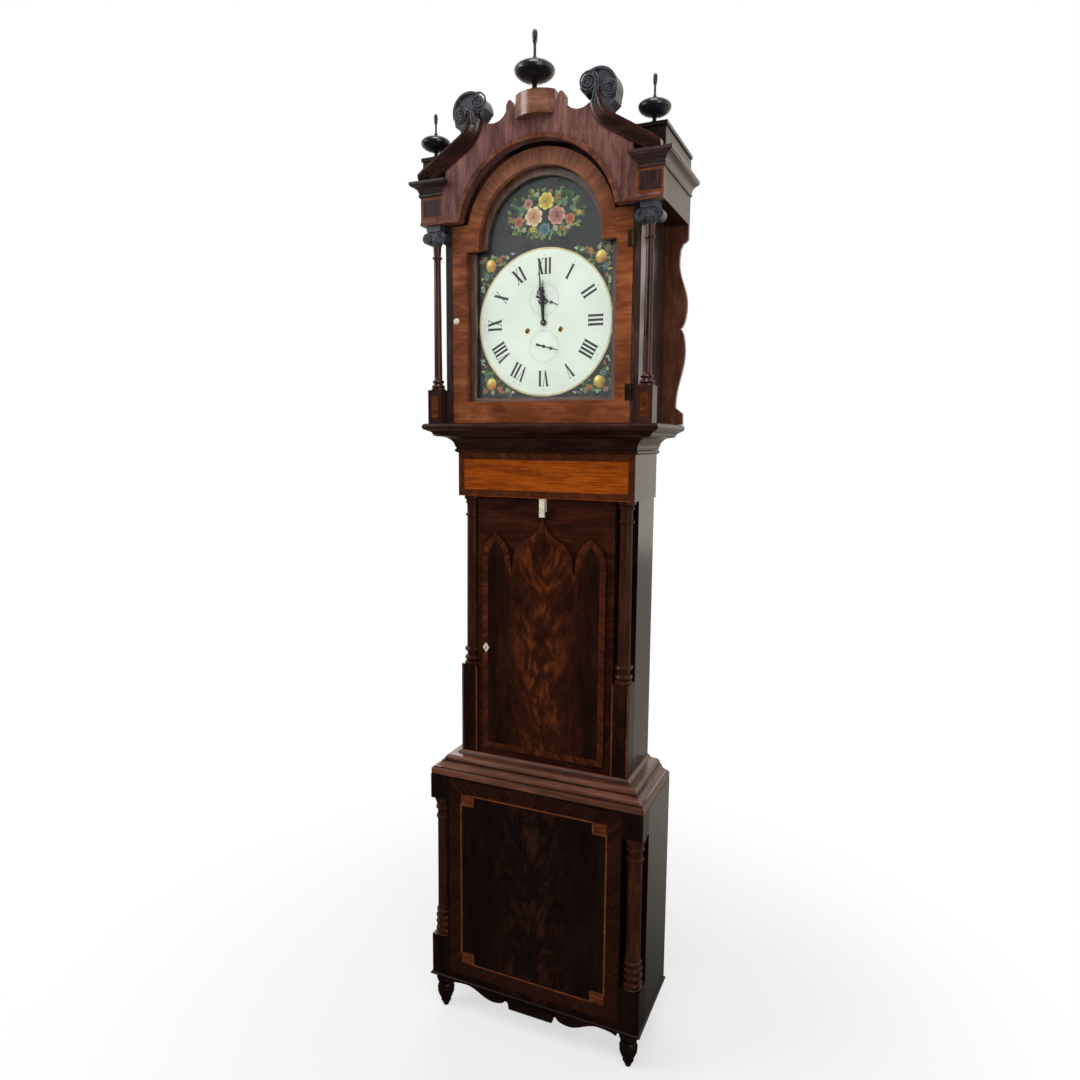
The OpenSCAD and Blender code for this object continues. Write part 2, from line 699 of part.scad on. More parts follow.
// Eyes of the inner and the outer volute, from the middle of the scroll
inner_eye = [-23.5, 15];
outer_eye = [23.5, -7];
// Outline of a ribbon that winds in from radius r to its eye
function volute(r, turns, wide, n) =
    let (at = function (a) r * pow(0.28, a / (360 * turns)),
         width = function (a) wide * pow(0.5, a / (360 * turns)))
    concat([for (i = [0 : n]) let (a = i * 360 * turns / n) at(a) * [cos(a), sin(a)]],
           [for (i = [n : -1 : 0]) let (a = i * 360 * turns / n) (at(a) - width(a)) * [cos(a), sin(a)]]);
// Cuts the scroll away under its inner volute
module scroll_notch() {
    polygon([[-60, 21], [-41.5, 0], [-19.5, -25], [4, -51.7], [-60, -60]]);
}
// Body of a scroll, under its ribbons, from plane y0 back
module scroll_body(y0) {
    upright(y0, scroll_front + scroll_deep) translate(scroll_at) {
        difference() {
            circle(r = scroll_r, $fn = 56);
            scroll_notch();
        }
        polygon([[-19.5, -25], [-8, -50], [18, -48], [26, -38.5], [37, -30], [39.5, -12], [0, 0]]);
    }
}
module scroll_terminals() {
    color([0.1, 0.09, 0.1]) both_sides() difference() {
        union() {
            scroll_body(scroll_front + ribbon_t);
            // Raised rim, the ribbon out of the neck, and both volutes with their eyes
            upright(scroll_front, scroll_front + ribbon_t + eps) translate(scroll_at) {
                difference() {
                    circle(r = scroll_r, $fn = 56);
                    circle(r = scroll_r - rim_t, $fn = 56);
                    scroll_notch();
                    translate([-scroll_r, -2 * scroll_r]) square([2 * scroll_r,
                        2 * scroll_r + outer_eye[1]]);
                }
                polygon([[-10, -7], [-3, -7], [-4.5, 16], [-10, 16]]);
                translate(inner_eye) {
                    polygon(volute(volute_r, 2, rim_t, 40));
                    circle(r = 3.5, $fn = 24);
                }
                translate(outer_eye) {
                    mirror([1, 0]) polygon(volute(volute_r, 2, rim_t, 40));
                    circle(r = 3.5, $fn = 24);
                }
            }
        }
        upright(entab_front, entab_front + tymp_t) tympanum_outline();
        upright(scroll_front - 1, entab_front) neck_outline(0.05);
    }
}
module swan_necks() {
    color([0.22, 0.12, 0.1]) both_sides() swept(neck_path, neck_profile, z_top);
}
block_half = 48;
block_h = 50;
centre_low = z_top + 109;
tymp_flat = z_top + 138;
module centre_block() {
    bow_r = (block_half * block_half + cornice_out * cornice_out) / (2 * cornice_out);
    color([0.36, 0.18, 0.12]) {
        translate([0, 0, centre_low]) linear_extrude(block_h) intersection() {
            translate([0, entab_front - cornice_out + bow_r]) circle(r = bow_r, $fn = 96);
            translate([-block_half, entab_front - cornice_out]) square([2 * block_half, cornice_out]);
        }
        block([-block_half, entab_front, tymp_flat],
              [block_half, entab_front + tymp_t, centre_low + block_h]);
    }
}
finial_h = 102;
finial_x = 270;
module finial_form() {
    ball = [for (a = [-78 : 13 : 78]) [ball_r * cos(a), 34 + (a < 0 ? 20 : 15) * sin(a)]];
    turned(concat([[9, 0], [9, 3], [5, 6], [4.2, 11]], ball, [[4.5, 51], [4.5, 55], [2.6, 59], [2.4, 76],
                  [4, 82], [4.8, 89], [4.8, 96], [3.5, 100], [1, finial_h]]));
}
module finials() {
    color([0.07, 0.07, 0.08]) {
        both_sides() translate([finial_x, roof_front + 12, z_roof]) finial_form();
        translate([0, entab_front - crown_out, centre_low + block_h]) scale(centre_scale) finial_form();
    }
}
module hood_roof() {
    color([0.2, 0.12, 0.08]) {
        // Roof board, with its moulded edge standing out beside the tympanum
        block([-roof_half - 3, entab_front + tymp_t, z_roof - roof_edge], [roof_half + 3, back_y, z_roof]);
        both_sides() {
            block([shoulder_x, roof_front - 3, z_roof - roof_edge],
                  [roof_half + 3, entab_front + tymp_t, z_roof]);
            block([roof_half - side_t, roof_front, z_top], [roof_half, back_y, z_roof - roof_edge]);
            block([shoulder_x, roof_front, z_top], [roof_half - side_t, roof_front + side_t,
                                                    z_roof - roof_edge]);
        }
    }
}

// Hood: columns and wings
hood_col_x = 268;
hood_col_y = hood_base_front + hood_block_w / 2;
capital_h = 47;
module hood_column_blocks() {
    color([0.2, 0.1, 0.06]) both_sides()
        block([hood_col_x - hood_block_w / 2, hood_base_front, z_case],
              [hood_col_x + hood_block_w / 2, hood_base_front + hood_block_w, z_case + hood_block_h]);
}
module hood_columns() {
    h = hood_col_h - hood_block_h - capital_h;
    r = hood_col_d / 2;
    big = hood_block_w / 2 - 1;
    color([0.22, 0.1, 0.07]) both_sides() translate([hood_col_x, hood_col_y, 0])
        turned(concat([[big, 0], [big, 4]], bead(r + 3, 5, 13), bead(r + 1, 17, 25),
                      [[r, 30], [r - 1.5, h - 36]],
                      bead(r - 1, h - 30, h - 23, 3),
                      [[r - 1, h - 20], [r, h]]),
               z_case + hood_block_h);
}
module hood_column_capitals() {
    z0 = z_entab - capital_h;
    deep = hood_block_w - 8;
    color([0.1, 0.09, 0.1]) both_sides() difference() {
        translate([hood_col_x, hood_col_y, z0]) {
            turned([[hood_col_d / 2, 0], [13, 6], [15, 14], [15, 30]]);
            // Cushion, with a scroll at each end
            block([-16, -deep / 2, 18], [16, deep / 2, 32]);
            for (s = [0, 1]) mirror([s, 0, 0]) translate([19, 0, 18]) {
                upright(-deep / 2, deep / 2) circle(r = 13, $fn = 32);
                upright(-deep / 2 - 2, deep / 2 + 2) rotate(90) polygon(volute(13, 1.75, 4, 28));
            }
            block([-18, -18, 32], [18, 18, 36]);
            block([-hood_block_w / 2, -hood_block_w / 2 + 1, 36],
                  [hood_block_w / 2, hood_block_w / 2, capital_h]);
        }
        // Coped round the hood's side board
        block([0, hood_door_front, z0], [hood_half, hood_door_front + 40, z_entab]);
    }
}
wing_t = 12;
// Distance out from the hood's side, and height as it is on a hood side of this height
wing_side_h = 473;
wing_edge = concat([[0, 1], [53, 1], [52, 28], [43, 35], [34, 42]],
                   [for (p = s_wave([52, 34], [175, 54], 12)) [p[1], p[0]]],
                   [for (a = [15 : 15 : 90]) [39 + 15 * cos(a), 175 + 57 * sin(a)]],
                   [for (a = [75 : -15 : 15]) [39 + 17 * cos(a), 288 - 56 * sin(a)]],
                   [for (p = s_wave([288, 56], [388, 34], 12)) [p[1], p[0]]],
                   [[34, 398], [36, 418], [42, 431], [50, 436], [entab_half - hood_half, 441],
                    [entab_half - hood_half, wing_side_h], [0, wing_side_h]]);
module hood_wings() {
    // Scrolled boards that stand out behind the hood
    color([0.17, 0.08, 0.06]) both_sides() upright(back_y - wing_t, back_y)
        polygon([for (p = wing_edge) [hood_half + p[0], z_case + p[1] * hood_col_h / wing_side_h]]);
}

// Hood door
hood_hinge_x = post_in + 1;
hood_hinge_y = hood_door_front - 3.5;
door_arch_r = tymp_r - 9;
rebate = 5;
glass_front = hood_door_back - 5;
module hood_door_frame() {
    half = hood_door_w / 2;
    low = z_case + hood_door_play;
    top = z_entab - 2;
    meet = acos((top - arch_z) / door_arch_r);
    outer = concat([[half, low], [half, top]], arc(0, arch_z, door_arch_r, 90 - meet, 90, 12));
    color([0.45, 0.22, 0.1]) difference() {
        upright(hood_door_front, hood_door_back)
            polygon(concat(outer, flip([for (i = [0 : len(outer) - 2]) outer[i]])));
        upright(hood_door_front - 1, hood_door_back + 1) polygon(sight_outline(0));
        upright(glass_front, hood_door_back + 1) polygon(sight_outline(rebate));
    }
}
module hood_door_glass() {
    color([0.8, 0.9, 0.9, 0.3]) upright(glass_front, glass_front + glass_t)
        polygon(sight_outline(rebate - 0.5));
}
module hood_door_knob() {
    color([0.93, 0.88, 0.75])
        translate([-hood_door_w / 2 + 15, hood_door_front, z_arbor + 8]) rotate([90, 0, 0])
            turned([[3, 0], [3, 3], [knob_d / 2 - 1, 6], [knob_d / 2, 9], [knob_d / 2 - 1, 12],
                    [knob_d / 4, 14]]);
}
module hood_door_hinges() {
    color([0.6, 0.45, 0.2])
        for (z = [z_case + 70, z_entab - 70])
            translate([0, 0, z - 18]) {
                translate([hood_hinge_x, hood_hinge_y, 0]) cylinder(r = 3, h = 36);
                block([hood_hinge_x - 14, hood_door_front - 1.4, 0],
                      [hood_hinge_x - 1, hood_door_front, 36]);
            }
}

// Movement: planes and arbors, in x and z from the hands' arbor
dial_feet_l = 25;
plate_front = dial_front + dial_t + dial_feet_l;
plate_back = plate_front + plate_t + plate_gap;
inner_front = plate_front + plate_t;
shake = 0.2;
great_dist = great_module * (great_teeth + pinion_teeth) / 2;
barrel_drop = 17;
barrel_x = sqrt(great_dist * great_dist - barrel_drop * barrel_drop);
escape_up = 54;
third_dist = centre_module * (centre_teeth + pinion_teeth) / 2;
escape_dist = third_module * (third_teeth + escape_leaves) / 2;
third_up = (third_dist * third_dist - escape_dist * escape_dist + escape_up * escape_up) / (2 * escape_up);
centre_at = [0, 0];
third_at = [-sqrt(third_dist * third_dist - third_up * third_up), third_up];
escape_at = [0, escape_up];
pallet_at = [0, escape_up + 28];
going_at = [barrel_x, -barrel_drop];
strike_at = [-barrel_x, -barrel_drop];
minute_teeth = 36;
hour_teeth = 72;
motion_leaves = 6;
motion_module = 0.9;
motion_dist = motion_module * minute_teeth;
hour_module = 2 * motion_dist / (hour_teeth + motion_leaves);
motion_at = motion_dist * [-0.574, -0.819];
date_at = [0, -55];
hammer_at = [-66, 66];
pillars = [for (s = [-1, 1]) for (z = [-plate_drop + 9, plate_h - plate_drop - 9]) [s * (plate_w / 2 - 8),
    z]];
pivot_r = 1.5;
// Slimmer shaft and post that pass close to the tips of other wheels
slim_r = 1.8;
post_r = 1;
arbor_r = 2.5;
great_y = inner_front + 2;
barrel_y = inner_front + 10;
centre_y = plate_back - 9;
third_y = inner_front + 27;
escape_y = inner_front + 17;
line_y = barrel_y + barrel_l / 2;
line_off = barrel_r + line_d / 2 + 0.05;
line_xs = [barrel_x - line_off, barrel_x - line_off + 2 * pulley_r];
rod_y = plate_back + plate_t + 16;

// Angle, round an arbor, of the line from one arbor to another
function toward(p, q) = atan2(p[1] - q[1], q[0] - p[0]);
// Shaft between the plates with a pivot at each end
module arbor(at, front = plate_front + 0.5, rear = plate_back + plate_t - 0.5, r = arbor_r,
             pivot = pivot_r) {
    on_arbor(at[0], z_arbor + at[1], front) cylinder(r = pivot, h = rear - front);
    on_arbor(at[0], z_arbor + at[1], inner_front + shake)
        cylinder(r = r, h = plate_back - inner_front - 2 * shake);
}
module hole(at, y, t, r) {
    on_arbor(at[0], z_arbor + at[1], y - 1) cylinder(r = r, h = t + 2);
}
// Crossed-out wheel on the z axis
module wheel(n, modulus, thick, angle, arms, hub) {
    difference() {
        toothed(n, modulus, thick, angle);
        translate([0, 0, -1])
            crossings(hub, n * modulus / 2 - 3.5 * modulus - 1, arms, 4, thick + 2);
    }
}

module movement_plates() {
    fit = arbor_play;
    color([0.72, 0.56, 0.25]) {
        difference() {
            union() {
                block([-plate_w / 2, plate_front, seat_top],
                      [plate_w / 2, plate_front + plate_t, seat_top + plate_h]);
                block([-plate_w / 2, plate_back, seat_top],
                      [plate_w / 2, plate_back + plate_t, seat_top + plate_h]);
            }
            for (y = [plate_front, plate_back]) {
                for (at = [third_at, hammer_at, pallet_at]) hole(at, y, plate_t, pivot_r + fit);
                for (at = [going_at, strike_at]) hole(at, y, plate_t, 3 + fit);
            }
            for (at = [centre_at, escape_at]) {
                hole(at, plate_front, plate_t, pivot_r + 0.5 + fit);
                hole(at, plate_back, plate_t, pivot_r + fit);
            }
        }
        for (p = pillars) on_arbor(p[0], z_arbor + p[1], inner_front) {
            cylinder(r = 4, h = plate_gap);
            cylinder(r = 6, h = 5);
            translate([0, 0, plate_gap - 5]) cylinder(r = 6, h = 5);
        }
        // Post of the minute wheel
        on_arbor(motion_at[0], z_arbor + motion_at[1], plate_front - 17) cylinder(r = post_r, h = 17 + eps);
        // Back cock that holds the pendulum's suspension
        z = z_arbor + pallet_at[1];
        difference() {
            block([-12, plate_back + plate_t, z + 4], [12, rod_y + 6, z + 18]);
            block([-4.8, rod_y - 4, z + 3], [4.8, rod_y + 7, z + 6]);
            block([-7.2, rod_y - 4, z + 5.3], [7.2, rod_y + 7, z + 14.5]);
        }
    }
}
module dial_plate() {
    color([0.93, 0.95, 0.9]) difference() {
        union() {
            block([-dial_w / 2, dial_front, z_arbor - dial_w / 2],
                  [dial_w / 2, dial_front + dial_t, z_arbor + dial_w / 2]);
            upright(dial_front, dial_front + dial_t) translate([0, dial_cz])
                circle(r = dial_arch_r, $fn = 64);
        }
        hole(centre_at, dial_front, dial_t, 7.5);
        hole(escape_at, dial_front, dial_t, 3);
        hole(date_at, dial_front, dial_t, pivot_r + arbor_play);
        for (at = [going_at, strike_at]) hole(at, dial_front, dial_t, 5.5);
    }
    // Feet that stand on the front plate
    color([0.72, 0.56, 0.25]) for (s = [-1, 1], z = [-40, 76])
        on_arbor(s * (plate_w / 2 - 12), z_arbor + z, dial_front + dial_t - eps)
            cylinder(r = 3, h = dial_feet_l + eps);
}
bell_r = 48;
bell_z = z_arbor + plate_h - plate_drop + 14;
bell_y = plate_front + 34;
module bell() {
    color([0.75, 0.6, 0.3]) {
        translate([0, bell_y, bell_z]) difference() {
            turned(concat([[bell_r, 0], [bell_r, 3]], [for (a = [10 : 10 : 80]) [(bell_r - 3) * cos(a),
                3 + 34 * sin(a)]], [[5, 37]]));
            translate([0, 0, -1])
                turned(concat([[bell_r - 3, 0], [bell_r - 3, 4]],
                              [for (a = [10 : 10 : 80]) [(bell_r - 6) * cos(a), 4 + 31 * sin(a)]]));
        }
        // Stand from the back plate to the bell's crown
        y = plate_back + plate_t;
        block([-5, y, z_arbor + 70 + 32], [5, y + 4, bell_z + 44]);
        block([-5, bell_y - 6, bell_z + 40], [5, y + 4, bell_z + 44]);
        translate([0, bell_y, bell_z + 34]) cylinder(r = 4, h = 8);
    }
}

// Hands and the wheels behind the dial
seconds_y = dial_front - 2.2;
hour_y = seconds_y - 2.5;
minute_y = hour_y - 2.8;
hand_t = 1;
cannon_r = 4;
module centre_arbor() {
    color([0.72, 0.56, 0.25]) {
        on_arbor(0, z_arbor, inner_front + shake) cylinder(r = arbor_r,
                                                           h = plate_back - inner_front - 2 * shake);
        on_arbor(0, z_arbor, plate_back - 2) cylinder(r = pivot_r, h = plate_t + 1.5);
        on_arbor(0, z_arbor, minute_y - 2) cylinder(r = pivot_r + 0.5, h = inner_front - minute_y + 4);
        on_arbor(0, z_arbor, great_y - 1)
            toothed(pinion_teeth, great_module, 6, toward(centre_at, going_at) + 180 / pinion_teeth, 0.34);
        on_arbor(0, z_arbor, centre_y)
            wheel(centre_teeth, centre_module, 2, toward(centre_at, third_at), 5, 6);
        // Cannon pipe and wheel
        on_arbor(0, z_arbor, minute_y + hand_t) cylinder(r = cannon_r,
                                                         h = plate_front - 1 - minute_y - hand_t);
        on_arbor(0, z_arbor, plate_front - 8)
            toothed(minute_teeth, motion_module, 2, toward(centre_at, motion_at));
    }
}
module minute_wheel() {
    color([0.72, 0.56, 0.25]) difference() {
        union() {
            on_arbor(motion_at[0], z_arbor + motion_at[1], plate_front - 8)
                toothed(minute_teeth, motion_module, 2, toward(motion_at, centre_at) + 180 / minute_teeth);
            on_arbor(motion_at[0], z_arbor + motion_at[1], plate_front - 16)
                toothed(motion_leaves, hour_module, 8 + eps, toward(motion_at,
                    centre_at) + 180 / motion_leaves, 0.34);
        }
        hole(motion_at, plate_front - 17, 11, post_r + arbor_play);
    }
}
module hour_wheel() {
    color([0.72, 0.56, 0.25]) difference() {
        union() {
            on_arbor(0, z_arbor, plate_front - 15) wheel(hour_teeth, hour_module, 2,
                                                         toward(centre_at, motion_at), 4, 9);
            on_arbor(0, z_arbor, hour_y) cylinder(r = 6.5, h = plate_front - 13 - hour_y);
        }
        hole([0, 0], hour_y - 1, plate_front + 1 - hour_y, cannon_r + arbor_play);
    }
}
// Pierced hand pointing up from the z axis, of thickness hand_t
module flat(x = 0, y = 0) {
    translate([x, y, 0]) linear_extrude(hand_t) children();
}
module hand(length, tail, wide, eye) {
    mid = length * 0.5;
    difference() {
        union() {
            flat() circle(r = eye + 3, $fn = 32);
            flat() polygon([[-wide / 2, 0], [-wide / 2, mid], [-0.6, length], [0.6, length],
                            [wide / 2, mid],
                            [wide / 2, 0]]);
            for (s = [-1, 1]) flat(s * wide * 0.9, mid) circle(r = wide * 1.1, $fn = 20);
            flat(0, mid + wide * 1.6) circle(r = wide, $fn = 20);
            if (tail > 0)
                flat() polygon([[-wide / 2, 0], [-wide * 1.4, -tail], [wide * 1.4, -tail], [wide / 2, 0]]);
        }
        translate([0, 0, -1]) cylinder(r = eye, h = hand_t + 2, $fn = 32);
        for (s = [-1, 1])
            translate([s * wide * 1.05, mid, -1]) cylinder(r = wide * 0.45, h = hand_t + 2, $fn = 20);
    }
}
minute_turn = -5;
hour_turn = -1;
seconds_turn = 112;
date_turn = 105;
module set_hand(at, y, turn) {
    translate([at[0], 0, z_arbor + at[1]]) translate([0, y + hand_t, 0]) rotate([0, turn, 0])
        rotate([90, 0, 0]) children();
}
module minute_hand() {
    color([0.08, 0.08, 0.1]) set_hand(centre_at, minute_y, minute_turn) hand(140, 0, 5, 2);
}
module hour_hand() {
    color([0.08, 0.08, 0.1]) difference() {
        set_hand(centre_at, hour_y - hand_t, hour_turn) hand(98, 0, 6, 4.2);
        hole(centre_at, hour_y - 3, 6, cannon_r + arbor_play);
    }
}
module seconds_hand() {
    color([0.08, 0.08, 0.1]) set_hand(escape_at, seconds_y, seconds_turn) hand(40, 22, 2, 1);
}
module date_hand() {
    color([0.08, 0.08, 0.1]) {
        set_hand(date_at, seconds_y, date_turn) hand(38, 20, 2, 0.8);
        on_arbor(0, z_arbor + date_at[1], seconds_y) cylinder(r = pivot_r, h = 9);
    }
    // Wheel behind the dial
    color([0.72, 0.56, 0.25]) on_arbor(0, z_arbor + date_at[1], dial_front + dial_t + 1)
        toothed(31, 1.2, 1.5);
}

// Going train
module third_arbor() {
    color([0.72, 0.56, 0.25]) {
        arbor(third_at);
        on_arbor(third_at[0], z_arbor + third_at[1], centre_y - 3)
            toothed(pinion_teeth, centre_module, 7, toward(third_at, centre_at) + 180 / pinion_teeth, 0.34);
        on_arbor(third_at[0], z_arbor + third_at[1], third_y)
            wheel(third_teeth, third_module, 2, toward(third_at, escape_at), 4, 5.5);
    }
}
module escape_arbor() {
    step = 360 / escape_teeth;
    outline = [for (i = [0 : escape_teeth - 1]) for (k = [0 : 2])
        let (a = i * step + [0, 0.16, 0.5][k] * step, q = escape_r - [0, 0, 4][k]) [q * cos(a),
            q * sin(a)]];
    color([0.72, 0.56, 0.25]) {
        arbor(escape_at, r = slim_r);
        on_arbor(0, z_arbor + escape_up, seconds_y) cylinder(r = 1, h = plate_front - seconds_y + 1);
        on_arbor(0, z_arbor + escape_up, plate_front - 4) cylinder(r = pivot_r + 0.5, h = plate_t + 6);
        on_arbor(0, z_arbor + escape_up, third_y - 3)
            toothed(escape_leaves, third_module, 8, toward(escape_at, third_at) + 180 / escape_leaves,
                    0.34);
        on_arbor(0, z_arbor + escape_up, escape_y) difference() {
            linear_extrude(2) polygon(outline);
            translate([0, 0, -1]) crossings(5, escape_r - 6.5, 4, 3, 4);
        }
    }
}
bob_rim = 6.4;
module pallet_anchor() {
    z = z_arbor + pallet_at[1];
    reach = escape_r + 1.9;
    color([0.45, 0.46, 0.5]) {
        // Arbor, with the crutch behind the back plate
        on_arbor(0, z, plate_front + 0.5) cylinder(r = pivot_r,
                                                   h = plate_back + plate_t + 10 - plate_front);
        on_arbor(0, z, inner_front + shake) cylinder(r = arbor_r, h = plate_gap - 2 * shake);
        block([-2.5, plate_back + plate_t + 5, z - 75], [2.5, plate_back + plate_t + 8, z + 3]);
        // Fork of the crutch, round the pendulum's rod
        block([-4.6, plate_back + plate_t + 5, z - 77], [4.6, rod_y - 3, z - 73]);
        both_sides() block([2.8, rod_y - 3 - eps, z - 77], [4.6, rod_y + 3, z - 73]);
        // Anchor over seven and a half teeth
        translate([0, 0, z_arbor + escape_up]) difference() {
            intersection() {
                upright(escape_y - 1, escape_y + 3) circle(r = reach + 4.5, $fn = 64);
                upright(escape_y - 1, escape_y + 3)
                    polygon([[0, 0], [40, 34], [40, 60], [-40, 60], [-40, 34]]);
            }
            upright(escape_y - 2, escape_y + 4) circle(r = reach, $fn = 64);
        }
        translate([0, 0, z]) upright(escape_y - 1, escape_y + 3) circle(r = 5, $fn = 32);
        block([-3, escape_y - 1, z_arbor + escape_up + reach + 1], [3, escape_y + 3, z]);
    }
}
module pendulum() {
    z = z_arbor + pallet_at[1];
    bob_z = z - pendulum_l;
    color([0.5, 0.5, 0.52]) {
        translate([0, rod_y, bob_z - bob_r - 30]) cylinder(r = 2.5, h = pendulum_l + bob_r + 30 - 24);
        block([-4, rod_y - 0.4, z - 26], [4, rod_y + 0.4, z + 8]);
        block([-6, rod_y - 3, z + 6], [6, rod_y + 3, z + 13]);
        block([-5, rod_y - 3, z - 34], [5, rod_y + 3, z - 23]);
    }
    color([0.72, 0.56, 0.25]) {
        // Lens-shaped bob with its rating nut
        sag = bob_t / 2 - bob_rim / 2;
        sag_r = (bob_r * bob_r + sag * sag) / (2 * sag);
        face = [for (i = [1 : 8]) let (a = asin(bob_r / sag_r) * i / 8)
            [sag_r * sin(a), bob_t / 2 - sag_r * (1 - cos(a))]];
        translate([0, rod_y, bob_z]) rotate([90, 0, 0]) rotate_extrude($fn = 72)
            polygon(concat([[0, -bob_t / 2]], [for (q = face) [q[0], -q[1]]],
                           [for (i = [7 : -1 : 0]) face[i]], [[0, bob_t / 2]]));
        translate([0, rod_y, bob_z - bob_r - 12]) cylinder(r = 8, h = 7);
    }
}
module winding_arbor(at) {
    on_arbor(at[0], z_arbor + at[1], plate_front + 0.4)
        cylinder(r = 3, h = plate_back + plate_t - plate_front - 0.8);
    on_arbor(at[0], z_arbor + at[1], dial_front + 0.5) rotate([0, 0, 45]) translate([-1.9, -1.9, 0])
        cube([3.8, 3.8, plate_front - dial_front]);
}
module drum(at) {
    on_arbor(at[0], z_arbor + at[1], barrel_y) difference() {
        union() {
            cylinder(r = barrel_r, h = barrel_l);
            for (h = [-2, barrel_l]) translate([0, 0, h]) cylinder(r = barrel_r + 3, h = 2);
        }
        translate([0, 0, -3]) cylinder(r = 2.5, h = barrel_l + 6);
    }
}
module great_wheel() {
    color([0.72, 0.56, 0.25]) on_arbor(going_at[0], z_arbor + going_at[1], great_y) difference() {
        wheel(great_teeth, great_module, 2.5, toward(going_at, centre_at), 5, 14);
        translate([0, 0, -1]) cylinder(r = 3 + arbor_play, h = 5);
    }
}
module going_barrel() {
    color([0.7, 0.52, 0.22]) {
        winding_arbor(going_at);
        drum(going_at);
    }
}
module strike_barrel() {
    color([0.7, 0.52, 0.22]) {
        winding_arbor(strike_at);
        drum(strike_at);
        on_arbor(strike_at[0], z_arbor + strike_at[1], great_y) wheel(84, great_module, 2.5, 0, 5, 14);
    }
}
weight_x = (line_xs[0] + line_xs[1]) / 2;
hook_h = 14;
pulley_z = weight_up + weight_l / 2 + hook_h + pulley_r;
module weight() {
    translate([weight_x, line_y, weight_up]) {
        translate([0, 0, -weight_l / 2]) turned(concat([[weight_d / 2 - 3, 0], [weight_d / 2, 3]],
            [[weight_d / 2, weight_l - 5], [weight_d / 2 - 5, weight_l], [3, weight_l],
             [3, weight_l + hook_h - 3]]));
    }
    // Pulley between the cheeks of its stirrup
    translate([weight_x, line_y, pulley_z]) rotate([90, 0, 0]) translate([0, 0, -3]) difference() {
        cylinder(r = pulley_r + 2, h = 6);
        rotate_extrude($fn = 48)
            polygon([[pulley_r - line_d / 2 - 0.05, 2], [pulley_r + 3, 1], [pulley_r + 3, 5],
                     [pulley_r - line_d / 2 - 0.05, 4]]);
    }
    for (s = [-1, 1]) translate([weight_x, line_y, 0])
        block([-4, s * 4.2 - 0.8, pulley_z - pulley_r - hook_h + 8], [4, s * 4.2 + 0.8, pulley_z + 5]);
    translate([weight_x, line_y, 0]) block([-4, -5, pulley_z - pulley_r - 6],
                                           [4, 5, pulley_z - pulley_r - 3]);
    translate([weight_x, line_y + 5, pulley_z]) rotate([90, 0, 0]) cylinder(r = 2, h = 10);
}
module going_weight() {
    color([0.25, 0.25, 0.26]) weight();
}
module strike_weight() {
    color([0.25, 0.25, 0.26]) mirror([1, 0, 0]) weight();
}
// Gut line: off the barrel, round the pulley and up to a knot on the seatboard
line_sides = 8;
module line() {
    translate([line_xs[0], line_y, pulley_z])
        cylinder(d = line_d, h = z_arbor - barrel_drop - pulley_z, $fn = line_sides);
    translate([line_xs[1], line_y, pulley_z])
        cylinder(d = line_d, h = seat_top + 1 - pulley_z, $fn = line_sides);
    translate([line_xs[1], line_y, seat_top + 0.2]) cylinder(d = 6, h = 3);
    translate([weight_x, line_y, pulley_z]) rotate([90, 0, 0]) rotate([0, 0, 180])
        rotate_extrude(angle = 180, $fn = 48) translate([pulley_r, 0]) circle(d = line_d, $fn = line_sides);
}
module going_line() {
    color([0.7, 0.6, 0.4]) line();
}
module strike_line() {
    color([0.7, 0.6, 0.4]) mirror([1, 0, 0]) line();
}
module hammer() {
    rise = bell_z + 4 - z_arbor - hammer_at[1];
    color([0.45, 0.46, 0.5]) {
        arbor(hammer_at, r = 2);
        translate([hammer_at[0], bell_y, z_arbor + hammer_at[1]]) {
            cylinder(r = 1.5, h = rise);
            rotate([90, 0, 0]) translate([0, 0, -3]) cylinder(r = 4, h = 6);
        }
        // Head
        translate([hammer_at[0] - 6, bell_y, bell_z + 4]) rotate([0, 90, 0])
            cylinder(r = 5, h = -bell_r - hammer_at[0] + 6 - 2);
    }
}

backboard();
trunk_sides();
trunk_front_frame();
trunk_frieze();
trunk_columns();
trunk_column_blocks();
throat_moulding();
waist_moulding();
plinth_front_panel();
plinth_sides();
plinth_corner_blocks();
plinth_columns();
plinth_apron();
feet();
seatboard();
movement_plates();
dial_plate();
bell();
going_line();
strike_line();
trunk_door();
trunk_door_hinges();
trunk_door_escutcheon();
trunk_door_pull();
hood_base_frame();
hood_sides_and_mask();
hood_tympanum();
hood_arch_moulding();
hood_entablature();
hood_cornices();
swan_necks();
scroll_terminals();
centre_block();
finials();
hood_roof();
hood_columns();
hood_column_capitals();
hood_column_blocks();
hood_wings();
hood_door_frame();
hood_door_glass();
hood_door_knob();
hood_door_hinges();
minute_hand();
centre_arbor();
hour_hand();
hour_wheel();
minute_wheel();
third_arbor();
escape_arbor();
seconds_hand();
date_hand();
pallet_anchor();
pendulum();
great_wheel();
going_barrel();
strike_barrel();
going_weight();
strike_weight();
hammer();
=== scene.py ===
# Longcase clock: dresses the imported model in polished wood, inlay, carving and a painted dial.
import bpy, bmesh, math, random
from mathutils import Matrix, Vector


